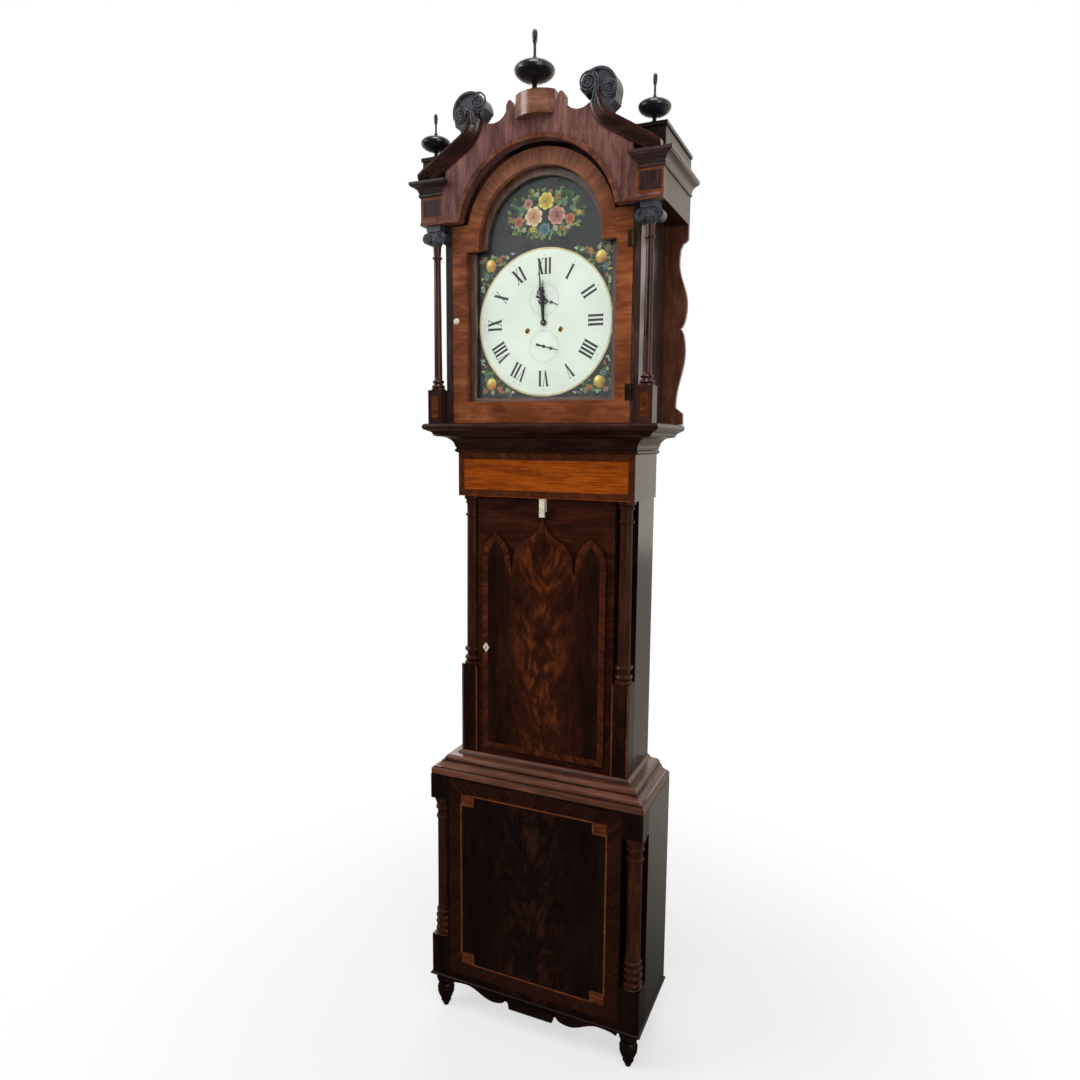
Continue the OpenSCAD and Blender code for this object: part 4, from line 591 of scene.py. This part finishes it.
def trunkDoorBand():
    # rounded crossbanded bead that follows the arches, between two insets of the door's outline
    outer, inner = doorOutline(doorBead["margin"]), doorOutline(door["band"])
    bm = bmesh.new()
    front = case["lipFront"]
    steps = doorBead["steps"]
    rows = []
    for k in range(steps + 1):
        t = k / steps
        lift = doorBead["rise"] * math.sin(math.pi * (0.06 + 0.94 * t)) ** 0.8 if k < steps else 0.0
        rows.append([bm.verts.new(mm(a[0] + (b[0] - a[0]) * t, front - lift, a[1] + (b[1] - a[1]) * t))
                     for a, b in zip(outer, inner)])
    rows.insert(0, [bm.verts.new(mm(x, front + doorBead["rimDepth"], z)) for x, z in outer])
    rows.append([bm.verts.new(mm(x, front + doorBead["panelDepth"], z)) for x, z in inner])
    skinRows(bm, outer, rows, [k * doorBead["uvStep"] for k in range(len(rows))])
    makePiece(bm, "trunk_door_band", "trunk_door", "crossbandRed", angle=60)


# Strings and small panels let into the blocks of the trunk and the hood
trunkBlock = {"inner": 185.5, "outer": 228.5, "low": 724, "high": 955, "line": 3.2, "rise": 0.25}
hoodSquare = {"inner": 241, "outer": 299, "low": 2069, "high": 2118.5, "line": 5.0, "rise": 0.3,
              "panelRise": 0.2}
hoodTablet = {"centre": 268, "half": 7.5, "low": 1598, "high": 1648, "line": 1.2, "rise": 0.25,
              "panelRise": 0.2}


def blockLines():
    bm = bmesh.new()
    t = trunkBlock
    for side in (-1, 1):
        for edge in (t["inner"], t["outer"] - t["line"]):
            x0, x1 = sorted((side * edge, side * (edge + t["line"])))
            addPlate(bm, [rect(x0, t["low"], x1, t["high"])], case["trunkFront"] - t["rise"], t["rise"])
    makePiece(bm, "trunk_block_lines", "case", "satinStringing")
    q = hoodSquare
    bm = bmesh.new()
    for side in (-1, 1):
        x0, x1 = sorted((side * q["inner"], side * q["outer"]))
        addBand(bm, rect(x0, q["low"], x1, q["high"]), 0, q["line"], case["entabFront"] - q["rise"], q["rise"])
    makePiece(bm, "hood_square_lines", "hood", "satinStringing")
    bm = bmesh.new()
    for side in (-1, 1):
        x0, x1 = sorted((side * (q["inner"] + q["line"]), side * (q["outer"] - q["line"])))
        panel = rect(x0, q["low"] + q["line"], x1, q["high"] - q["line"])
        addPlate(bm, [panel], case["entabFront"] - q["panelRise"], q["panelRise"])
    makePiece(bm, "hood_square_panels", "hood", "squareDark")
    p = hoodTablet
    lineMesh, panelMesh = bmesh.new(), bmesh.new()
    for side in (-1, 1):
        c = side * p["centre"]
        box = rect(c - p["half"], p["low"], c + p["half"], p["high"])
        addBand(lineMesh, box, -p["line"], 0, case["tabletFront"] - p["rise"], p["rise"])
        addPlate(panelMesh, [box], case["tabletFront"] - p["panelRise"], p["panelRise"])
    makePiece(lineMesh, "hood_tablet_lines", "hood", "satinStringing")
    makePiece(panelMesh, "hood_tablets", "hood", "cornerSquare")


print("veneers and lines")
plinthVeneer()
friezeVeneer()
trunkDoorBand()
blockLines()


# Carving on the scroll terminals, a batten that closes the gap over the roof board, and the weight lines
scroll = {"front": -114.6, "inner": (134.0, 2306.0, 23.0), "outer": (181.0, 2284.0, 20.5), "turns": 2.6,
          "bead": 2.3, "stalk": ((147, 2262), (149, 2280), (155, 2296), (152, 2312), (146, 2322)),
          "stalkShift": 3.4, "stalkSize": 1.1, "steps": 28, "tighten": 0.82, "taper": 0.45}


def spiralPoints(cx, cz, reach, start, hand):
    # a coil that tightens towards its eye, with a rope that thins on the way
    total = scroll["turns"] * scroll["steps"]
    points = []
    for k in range(int(total) + 1):
        t = k / total
        a = math.radians(start) + hand * t * scroll["turns"] * 2 * math.pi
        r = reach * (1 - scroll["tighten"] * t ** 0.85)
        points.append((cx + r * math.cos(a), cz + r * math.sin(a), 1 - scroll["taper"] * t))
    return points


def scrollCarving():
    # one bead of carving follows each coil, and two run up each stalk
    curve = bpy.data.curves.new("scroll_carving", "CURVE")
    curve.dimensions = "3D"
    curve.bevel_depth, curve.bevel_resolution = scroll["bead"] / 1000, 3
    curve.use_fill_caps = True
    runs = []
    for side in (-1, 1):
        for key, start, hand in (("inner", 20, 1), ("outer", 160, -1)):
            coil = spiralPoints(*scroll[key], start, hand)
            runs.append([(side * x, z, size) for x, z, size in coil])
        for shift in (-scroll["stalkShift"], scroll["stalkShift"]):
            runs.append([(side * (x + shift), z, scroll["stalkSize"]) for x, z in scroll["stalk"]])
    for run in runs:
        spline = curve.splines.new("POLY")
        spline.points.add(len(run) - 1)
        for point, (x, z, size) in zip(spline.points, run):
            point.co = (*mm(x, scroll["front"], z), 1)
            point.radius = size
    maker = inScene("scroll_curve", curve)
    bpy.context.view_layer.update()
    mesh = bpy.data.meshes.new_from_object(maker.evaluated_get(bpy.context.evaluated_depsgraph_get()))
    bpy.data.objects.remove(maker)
    bm = bmesh.new()
    bm.from_mesh(mesh)
    bmesh.ops.remove_doubles(bm, verts=bm.verts[:], dist=1e-6)
    makePiece(bm, "scroll_carving", "hood", "carvedSlateBlack", angle=60)


batten = {"half": 112.0, "front": -76.3, "back": -58.0, "low": 2214.1, "high": 2234.0, "bevel": 3.0}


def roofBatten():
    b = batten
    middle = mm(0, (b["front"] + b["back"]) / 2, (b["low"] + b["high"]) / 2)
    size = mm(2 * b["half"], b["back"] - b["front"], b["high"] - b["low"])
    bm = bmesh.new()
    made = bmesh.ops.create_cube(bm, size=1.0)
    place = Matrix.Translation(middle) @ Matrix.Diagonal((*size, 1))
    bmesh.ops.transform(bm, matrix=place, verts=made["verts"])
    bmesh.ops.bevel(bm, geom=bm.edges[:], offset=b["bevel"] / 1000, segments=2, profile=0.5, affect="EDGES",
                    material=-1)
    makePiece(bm, "hood_roof_batten", "hood", "darkLevel", angle=32)


def gutFalls():
    # each weight line is remade as a smooth-shaded piece of gut where it hangs, and the line from the model is
    # hidden
    for side in ("going", "strike"):
        bm = bmesh.new()
        bm.from_mesh(bpy.data.objects[side + "_line"].data)
        bmesh.ops.remove_doubles(bm, verts=bm.verts[:], dist=1e-6)
        gut = makePiece(bm, side + "_gut", None, "twistedGut", angle=32)
        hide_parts(side + "_line")
        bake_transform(gut)


scrollCarving()
roofBatten()
gutFalls()


# Dial: lacquered black ground, white disc, numerals, small dials and painted flowers
plain("dialWhite", (0.6, 0.655, 0.58), (0.69, 0.745, 0.665), (0.3, 0.42), scale=9, gloss=0.3, bump=0.03,
      fine=260)
plain("dialBlack", (0.006, 0.007, 0.008), (0.03, 0.032, 0.034), (0.35, 0.5), scale=140, bump=0.04)
plain("dialGrey", (0.2, 0.24, 0.22), (0.34, 0.39, 0.36), (0.35, 0.5), scale=120, bump=0.03)
plain("dialGold", (0.42, 0.34, 0.16), (0.62, 0.55, 0.33), scale=60, gloss=0.2)
plain("flowerPaint", (0.8, 0.8, 0.78), (1, 1, 1), (0.35, 0.5), scale=90, bump=0.12, fine=600, attribute="paint")

dial = {"disc": 170.0, "face": -35.46, "white": 0.35, "ink": 0.1, "numeralIn": 112.0, "numeralOut": 149.0,
        "winding": 42.93, "windingDown": -17.0, "seconds": 54.0, "date": -55.0, "small": 38.0,
        "arborHole": 7.4, "secondsHole": 3, "dateHole": 2.2, "windingHole": 6.6, "collet": 6.2,
        "colletHalf": 0.9, "goldGap": 0.6, "goldHalf": 2.2}


def dialFace():
    z, top = case["arbor"], dial["face"] - dial["white"]
    keys = [(s * dial["winding"], z + dial["windingDown"]) for s in (-1, 1)]
    holes = [circle(0, z, dial["arborHole"], 28), circle(0, z + dial["seconds"], dial["secondsHole"], 20),
             circle(0, z + dial["date"], dial["dateHole"], 16)]
    holes += [circle(*key, dial["windingHole"], 28) for key in keys]
    bm = bmesh.new()
    addPlate(bm, [circle(0, z, dial["disc"], 160)] + holes, top, dial["white"] - 0.02)
    makePiece(bm, "dial_white_disc", "case", "dialWhite")
    # gold line round the disc, and brass collets in the winding holes
    bm = bmesh.new()
    addBand(bm, circle(0, z, dial["disc"] + dial["goldGap"], 160), -dial["goldHalf"], dial["goldHalf"],
            top - 0.05, 0.1)
    makePiece(bm, "dial_gold_line", "case", "dialGold")
    bm = bmesh.new()
    for key in keys:
        addBand(bm, circle(*key, dial["collet"], 28), -dial["colletHalf"], dial["colletHalf"], top - 0.15, 0.7,
                crown=0.25)
    makePiece(bm, "winding_collets", "case", "agedBrass", angle=32)


def addStroke(bm, points, front):
    # one flat stroke of ink, with its corners given in x and z
    bm.faces.new([bm.verts.new(mm(x, front, z)) for x, z in points])


numeral = {"I": 7.5, "V": 15.5, "X": 15.5, "thick": 5.6, "thin": 1.4, "serif": 1.5, "gap": 3.4,
           "closeGap": 2.6, "narrow": 0.9}


def addNumeral(bm, letters, angle, front):
    # Roman figures stand with their feet towards the middle
    tall = dial["numeralOut"] - dial["numeralIn"]
    thick, thin, serif = numeral["thick"], numeral["thin"], numeral["serif"]
    head, hair = tall - serif, thin * 1.3
    gap = numeral["closeGap"] if len(letters) > 2 else numeral["gap"]
    widths = [numeral[c] * (numeral["narrow"] if len(letters) > 3 else 1) for c in letters]
    x = -(sum(widths) + gap * (len(letters) - 1)) / 2
    strokes = []
    for c, w in zip(letters, widths):
        # legs give two places at the foot and two at the head, ends give a span in x and a height
        m = x + w / 2
        if c == "I":
            legs = [(m - thick / 2, m + thick / 2, m - thick / 2, m + thick / 2)]
            ends = [(m - thick / 2 - serif, m + thick / 2 + serif, low) for low in (0, head)]
        elif c == "V":
            legs = [(m - 0.6, m + thick * 0.5, x + 0.2, x + thick + 0.6),
                    (m + 0.4, m + 0.4 + thin, x + w - 1 - thin, x + w - 1)]
            ends = [(x - 1.2, x + thick + 1.8, head), (x + w - 4, x + w + 1, head)]
        else:
            legs = [(x + w - thick - 0.6, x + w, x, x + thick + 0.6),
                    (x + 0.8, x + 0.8 + hair, x + w - 0.8 - hair, x + w - 0.8)]
            ends = [(x - 1.2, x + thick + 1.4, head), (x + w - 4, x + w + 1, head), (x - 1, x + 4, 0),
                    (x + w - thick - 1.6, x + w + 1.2, 0)]
        strokes += [[(a, 0), (b, 0), (d, tall), (c, tall)] for a, b, c, d in legs]
        strokes += [rect(a, low, b, low + serif) for a, b, low in ends]
        x += w + gap
    turn = math.radians(angle)
    for k, stroke in enumerate(strokes):
        placed = []
        for sx, sz in stroke:
            rz = dial["numeralIn"] + sz
            placed.append((sx * math.cos(turn) + rz * math.sin(turn),
                           case["arbor"] - sx * math.sin(turn) + rz * math.cos(turn)))
        addStroke(bm, placed, front - 0.004 * (k % 3))


hours = "XII I II III IIII V VI VII VIII IX X XI".split()
dialMarks = {"dotReach": 156.5, "dots": (1.7, 1.0), "ticks": (5.0, 3.4), "halves": (0.55, 0.28), "ring": 0.22}


def dialFigures():
    front = dial["face"] - dial["white"] - dial["ink"]
    bm = bmesh.new()
    for hour, letters in enumerate(hours):
        addNumeral(bm, letters, hour * 30, front)
    makePiece(bm, "dial_numerals", "case", "dialBlack", sheet=True)
    # faint minute dots and the two small dials, where each fifth mark is the heavier of a pair
    bm = bmesh.new()
    for minute in range(60):
        a = math.radians(minute * 6)
        r = dialMarks["dotReach"]
        size = dialMarks["dots"][minute % 5 > 0]
        addStroke(bm, circle(r * math.sin(a), case["arbor"] + r * math.cos(a), size, 10), front)
    for centre, marks in ((dial["seconds"], 60), (dial["date"], 31)):
        z, r1 = case["arbor"] + centre, dial["small"]
        for k in range(marks):
            a = math.radians(k * 360 / marks)
            r0, w = r1 - dialMarks["ticks"][k % 5 > 0], dialMarks["halves"][k % 5 > 0]
            c, s = math.cos(a), math.sin(a)
            corners = ((r0, -w), (r0, w), (r1, w), (r1, -w))
            addStroke(bm, [(r * s + q * c, z + r * c - q * s) for r, q in corners], front)
        addBand(bm, circle(0, z, r1, 72), -dialMarks["ring"], dialMarks["ring"], front, 0.05)
    makePiece(bm, "dial_small_marks", "case", "dialGrey", sheet=True)


# Painted flowers: an own design of roses, round fruit, small blooms, berries and leaves
leafTones = (((0.012, 0.036, 0.014), (0.06, 0.12, 0.04)), ((0.02, 0.06, 0.016), (0.18, 0.27, 0.055)),
             ((0.04, 0.09, 0.03), (0.32, 0.38, 0.15)))
bloomTones = {
    "pink": ((0.17, 0.03, 0.03), (0.66, 0.36, 0.29)), "cream": ((0.36, 0.12, 0.04), (0.8, 0.66, 0.45)),
    "yellow": ((0.3, 0.16, 0.015), (0.8, 0.7, 0.17)), "blue": ((0.012, 0.045, 0.08), (0.15, 0.27, 0.34)),
    "coral": ((0.2, 0.028, 0.014), (0.6, 0.23, 0.13)), "white": ((0.2, 0.24, 0.16), (0.6, 0.62, 0.5)),
}


def outwards(x, z, angle, reach):
    a = math.radians(angle)
    return x + math.sin(a) * reach, z + math.cos(a) * reach


def addDab(bm, x, z, wide, tall, turn, tones, front, dome=0.1, point=0.0, segments=12):
    # one dab of paint: a low rounded disc, dark at its root and light at its tip, drawn out to a point if asked
    layer = bm.loops.layers.float_color.get("paint") or bm.loops.layers.float_color.new("paint")
    made = bmesh.ops.create_circle(bm, cap_ends=True, cap_tris=True, radius=1.0, segments=segments)
    faces = {face for vert in made["verts"] for face in vert.link_faces}
    verts = {vert for face in faces for vert in face.verts}
    shades = {}
    for vert in verts:
        u, w = vert.co.x, vert.co.y
        shades[vert] = (0.5 + 0.5 * w) ** 1.6
        middle = abs(u) + abs(w) < 0.01
        squeeze = 1.0 - point * w * w
        vert.co = (u * wide / 2000 * squeeze, -(dome if middle else 0.0) / 1000, w * tall / 2000)
    place = Matrix.Translation(mm(x, front, z)) @ Matrix.Rotation(math.radians(turn), 4, "Y")
    bmesh.ops.transform(bm, matrix=place, verts=list(verts))
    for face in faces:
        for loop in face.loops:
            k = shades[loop.vert]
            loop[layer] = (*[low + (high - low) * k for low, high in zip(*tones)], 1)


def addRing(bm, x, z, count, reach, wide, tall, turn, tones, front, dome=0.14):
    for k in range(count):
        angle = turn + k * 360 / count
        px, pz = outwards(x, z, angle, reach)
        addDab(bm, px, pz, wide, tall, angle, tones, front - 0.006 * (k % 3), dome)


def addRose(bm, x, z, size, tone, turn, front):
    # three rings of round petals that close over a dark heart
    tones = bloomTones[tone]
    heart = (tuple(v * 0.4 for v in tones[0]), tones[0])
    inner = (tones[0], tuple(0.3 * low + 0.6 * high for low, high in zip(*tones)))
    addRing(bm, x, z, 7, size * 0.62, size * 0.78, size * 0.74, turn, tones, front)
    addRing(bm, x, z, 5, size * 0.38, size * 0.66, size * 0.6, turn + 30, inner, front - 0.05)
    addDab(bm, x, z, size * 0.74, size * 0.7, turn, heart, front - 0.09)
    addRing(bm, x, z - size * 0.04, 3, size * 0.17, size * 0.34, size * 0.28, turn + 60, inner, front - 0.13)
    addDab(bm, x, z, size * 0.24, size * 0.26, turn, heart, front - 0.2)


def addFruit(bm, x, z, size, turn, front):
    # a round yellow fruit with a flushed cheek, a light on the other side and a red eye
    a = math.radians(turn)
    flush, light = ((0.36, 0.06, 0.01), (0.8, 0.42, 0.08)), ((0.8, 0.62, 0.12), (0.9, 0.86, 0.55))
    addDab(bm, x, z, size * 1.3, size * 1.5, turn, bloomTones["yellow"], front, 0.2, segments=18)
    addDab(bm, x + size * 0.34 * math.cos(a), z - size * 0.34 * math.sin(a), size * 0.55, size * 1.15, turn + 8,
           flush, front - 0.05, 0.12)
    addDab(bm, x - size * 0.2, z + size * 0.25, size * 0.42, size * 0.7, turn + 20, light, front - 0.09)
    addDab(bm, x, z - size * 0.62, size * 0.22, size * 0.22, 0, bloomTones["coral"], front - 0.11)


def addSmallBloom(bm, x, z, size, tone, turn, front):
    addRing(bm, x, z, 5, size * 0.5, size * 0.62, size * 0.62, turn, bloomTones[tone], front, 0.08)
    addDab(bm, x, z, size * 0.34, size * 0.34, 0, bloomTones["yellow"], front - 0.06)


def addBerry(bm, x, z, size, tone, front):
    addDab(bm, x, z, size, size, 0, bloomTones[tone], front, 0.06, segments=8)


def addSprig(bm, x, z, angle, length, front, rng, tone):
    # a thin curved spray with small leaves and berries
    bend = rng.uniform(-30, 30)
    for k in range(5):
        t = (k + 1) / 5
        px, pz = outwards(x, z, angle + bend * t, length * t)
        for side in (-1, 1):
            addLeaf(bm, px, pz, angle + side * rng.uniform(30, 60), length * 0.26, front, rng)
        if k > 1:
            for q in range(3):
                addBerry(bm, px + rng.uniform(-2.4, 2.4), pz + rng.uniform(-2.4, 2.4), 3.2, tone, front - 0.06)


def addLeaf(bm, x, z, angle, length, front, rng):
    px, pz = outwards(x, z, angle, length * 0.4)
    addDab(bm, px, pz, length * 0.5, length, angle, rng.choice(leafTones), front - rng.uniform(0, 0.04), 0.07,
           point=0.75, segments=10)


bouquet = {"centre": 2068.0, "wide": 98.0, "tall": 54.0, "leaves": 170, "sprigWide": 66, "sprigTall": 33,
           "sprigLong": 28}
roses = ((30, -6, 22, "pink"), (-28, -3, 23, "cream"), (3, 29, 20, "yellow"), (0, -35, 14, "blue"),
         (64, -16, 12, "coral"), (-67, -12, 12, "coral"), (-42, 27, 11, "pink"))
smallBlooms = ((50, 22, 9, "blue"), (68, 8, 8, "blue"), (34, 36, 8, "coral"), (-62, 14, 9, "blue"),
               (-20, 46, 7, "white"), (27, -34, 8, "white"), (-31, -32, 9, "yellow"), (46, -36, 8, "coral"),
               (-53, -31, 7, "white"), (86, -5, 7, "yellow"), (-88, -3, 6, "coral"), (14, 50, 6, "pink"),
               (60, -34, 7, "white"), (-14, -44, 6, "coral"))
sprigs = ((-96, "coral"), (-64, "blue"), (62, "white"), (94, "coral"), (-124, "white"), (128, "yellow"),
          (-20, "yellow"), (24, "white"))


def archFlowers():
    rng = random.Random(11)
    front = dial["face"] - 0.1
    bm = bmesh.new()
    cz = bouquet["centre"]
    for k in range(bouquet["leaves"]):
        angle, r = rng.uniform(0, 360), math.sqrt(rng.uniform(0.02, 0.92))
        a = math.radians(angle)
        px, pz = bouquet["wide"] * r * math.sin(a), bouquet["tall"] * r * math.cos(a)
        addLeaf(bm, px, cz + pz, angle + rng.uniform(-50, 50), rng.uniform(10, 19), front, rng)
    for angle, tone in sprigs:
        a = math.radians(angle)
        px, pz = bouquet["sprigWide"] * math.sin(a), bouquet["sprigTall"] * math.cos(a)
        addSprig(bm, px, cz + pz, angle, bouquet["sprigLong"], front - 0.06, rng, tone)
    for k, (px, pz, size, tone) in enumerate(smallBlooms):
        addSmallBloom(bm, px, cz + pz, size, tone, k * 23, front - 0.14)
    for k, (px, pz, size, tone) in enumerate(roses):
        addRose(bm, px, cz + pz, size, tone, k * 17, front - 0.2 - 0.01 * k)
    makePiece(bm, "arch_flowers", "case", "flowerPaint", angle=50, sheet=True)


corner = {"reach": 141.0, "clear": 180.0, "leaves": 150, "low": 62, "high": 166}
cornerBerries = ((80, 163, "white"), (96, 158, "white"), (162, 84, "white"), (157, 98, "coral"),
                 (108, 162, "coral"), (163, 112, "yellow"), (88, 165, "blue"), (164, 92, "white"))
cornerBlooms = ((12, -23, 10, "blue", 0), (-24, 12, 9, "coral", 30), (17, 17, 8, "pink", 50),
                (-4, 21, 6, "white", 10))


def cornerFlowers():
    rng = random.Random(5)
    front = dial["face"] - 0.1
    cz, m = case["arbor"], corner["reach"]
    bm = bmesh.new()
    for sx in (-1, 1):
        for sz in (-1, 1):
            for k in range(corner["leaves"]):
                px = sx * rng.uniform(corner["low"], corner["high"])
                pz = sz * rng.uniform(corner["low"], corner["high"])
                if math.hypot(px, pz) > corner["clear"]:
                    addLeaf(bm, px, cz + pz, rng.uniform(0, 360), rng.uniform(9, 15), front, rng)
            for dx, dz, tone in cornerBerries:
                for q in range(4):
                    px, pz = sx * dx + rng.uniform(-4, 4), cz + sz * dz + rng.uniform(-3, 3)
                    addBerry(bm, px, pz, 4.4, tone, front - 0.1)
            addFruit(bm, sx * m, cz + sz * m, 20, sx * sz * 20, front - 0.16)
            for dx, dz, size, tone, turn in cornerBlooms:
                addSmallBloom(bm, sx * (m + dx), cz + sz * (m + dz), size, tone, turn, front - 0.14)
    makePiece(bm, "corner_flowers", "case", "flowerPaint", angle=50, sheet=True)


print("dial")
dialFace()
dialFigures()
archFlowers()
cornerFlowers()

# Studio: pale floor and backdrop, soft lamps, and the camera of the photograph
studioLook = {"floor": 9, "floorGrey": 0.8, "room": 0.35, "roomTone": (0.95, 0.97, 1.0, 1), "aim": (0, 0, 1.3),
              "dim": (0.03, 0.03, 0.03), "floorGleam": (0.44, 0.4, 0.34), "roomGleam": (1.15, 1.05, 0.92)}
studioLamps = (("keyLamp", (-3.6, -2.4, 3.6), 95, 2.0), ("fillLamp", (3.4, -3.0, 2.0), 45, 2.2),
               ("topLamp", (0.5, -1.6, 4.4), 60, 1.6), ("backLamp", (-1.5, 3.0, 3.0), 40, 2.0))


def shaderMix(tree, factor, a, b):
    node = addNode(tree, "ShaderNodeMixShader")
    for source, socket in zip((factor, a, b), node.inputs):
        tree.links.new(source, socket)
    return node.outputs[0]


def rayKinds(tree):
    # rays that show a surface straight or through glass, and rays that polish mirrors
    rays = addNode(tree, "ShaderNodeLightPath").outputs
    return mathOn(tree, "MAXIMUM", rays["Is Camera Ray"], rays["Is Transmission Ray"]), rays["Is Glossy Ray"]


def addFloor():
    mesh = bpy.data.meshes.new("studioFloor")
    bm = bmesh.new()
    bmesh.ops.create_grid(bm, x_segments=1, y_segments=1, size=studioLook["floor"])
    bm.to_mesh(mesh)
    bm.free()
    tree, shader = newMaterial("paleFloor")
    setNode(shader, Base_Color=(*[studioLook["floorGrey"]] * 3, 1), Roughness=0.7)
    white = addNode(tree, "ShaderNodeEmission", Color=(1, 1, 1, 1), Strength=1.0)
    seen, glossy = rayKinds(tree)
    # white to the camera, fading to full white away from the object, so that only its shadow shows
    x, y, z = parted(tree)
    away = mathOn(tree, "SQRT", plus(tree, times(tree, x, x), times(tree, y, y)))
    shown = times(tree, seen, ranged(tree, away, 0.5, 1.5, 0.62, 1.0, smooth=True))
    # the polish mirrors a floor that is dim in front of the object and paler behind it
    gleam = addNode(tree, "ShaderNodeEmission")
    shade = ramp(tree, plus(tree, times(tree, y, 0.1), 0.4), (0.4, 0.53),
                 (studioLook["dim"], studioLook["floorGleam"]))
    tree.links.new(shade, gleam.inputs["Color"])
    unseen = shaderMix(tree, glossy, shader.outputs[0], gleam.outputs[0])
    surface = shaderMix(tree, shown, unseen, white.outputs[0])
    tree.links.new(surface, tree.nodes["Material Output"].inputs["Surface"])
    mesh.materials.append(finishes["paleFloor"])
    floor = inScene("studioFloor", mesh)


def addRoom():
    world = bpy.data.worlds.new("softRoom")
    bpy.context.scene.world = world
    world.use_nodes = True
    tree = world.node_tree
    back = setNode(tree.nodes["Background"], Color=studioLook["roomTone"], Strength=studioLook["room"])
    # what the polish mirrors: pale behind the object, dim in front of it
    mirror = addNode(tree, "ShaderNodeBackground")
    facing = addNode(tree, "ShaderNodeSeparateXYZ")
    tree.links.new(addNode(tree, "ShaderNodeTexCoord").outputs["Generated"], facing.inputs[0])
    shade = ramp(tree, plus(tree, times(tree, facing.outputs[1], 0.5), 0.5), (0.3, 0.62),
                 (studioLook["dim"], studioLook["roomGleam"]))
    tree.links.new(shade, mirror.inputs["Color"])
    white = addNode(tree, "ShaderNodeBackground", Color=(1, 1, 1, 1), Strength=1.0)
    seen, glossy = rayKinds(tree)
    unseen = shaderMix(tree, glossy, back.outputs[0], mirror.outputs[0])
    surface = shaderMix(tree, seen, unseen, white.outputs[0])
    tree.links.new(surface, tree.nodes["World Output"].inputs["Surface"])


def addLamps():
    for name, place, watts, size in studioLamps:
        data = bpy.data.lights.new(name, "AREA")
        data.energy, data.size = watts, size
        lamp = inScene(name, data)
        lamp.location = place
        aim = Vector(studioLook["aim"]) - Vector(place)
        lamp.rotation_euler = aim.to_track_quat("-Z", "Y").to_euler()


photoView = {"place": (0.7655, -1.78936, 1.5403), "yaw": 23.76, "pitch": -7.2, "roll": 0.41, "lens": 26.08}


def photoCamera():
    data = bpy.data.cameras.new("photoCamera")
    data.sensor_width, data.lens, data.clip_start = 36, photoView["lens"], 0.05
    camera = inScene("photoCamera", data)
    turn = (Matrix.Rotation(math.radians(photoView["yaw"]), 4, "Z")
            @ Matrix.Rotation(math.radians(90 + photoView["pitch"]), 4, "X")
            @ Matrix.Rotation(math.radians(photoView["roll"]), 4, "Z"))
    camera.matrix_world = Matrix.Translation(photoView["place"]) @ turn
    bpy.context.scene.camera = camera


addFloor()
addRoom()
addLamps()
photoCamera()
bpy.context.scene.view_settings.view_transform = "Standard"

print("all pieces made")
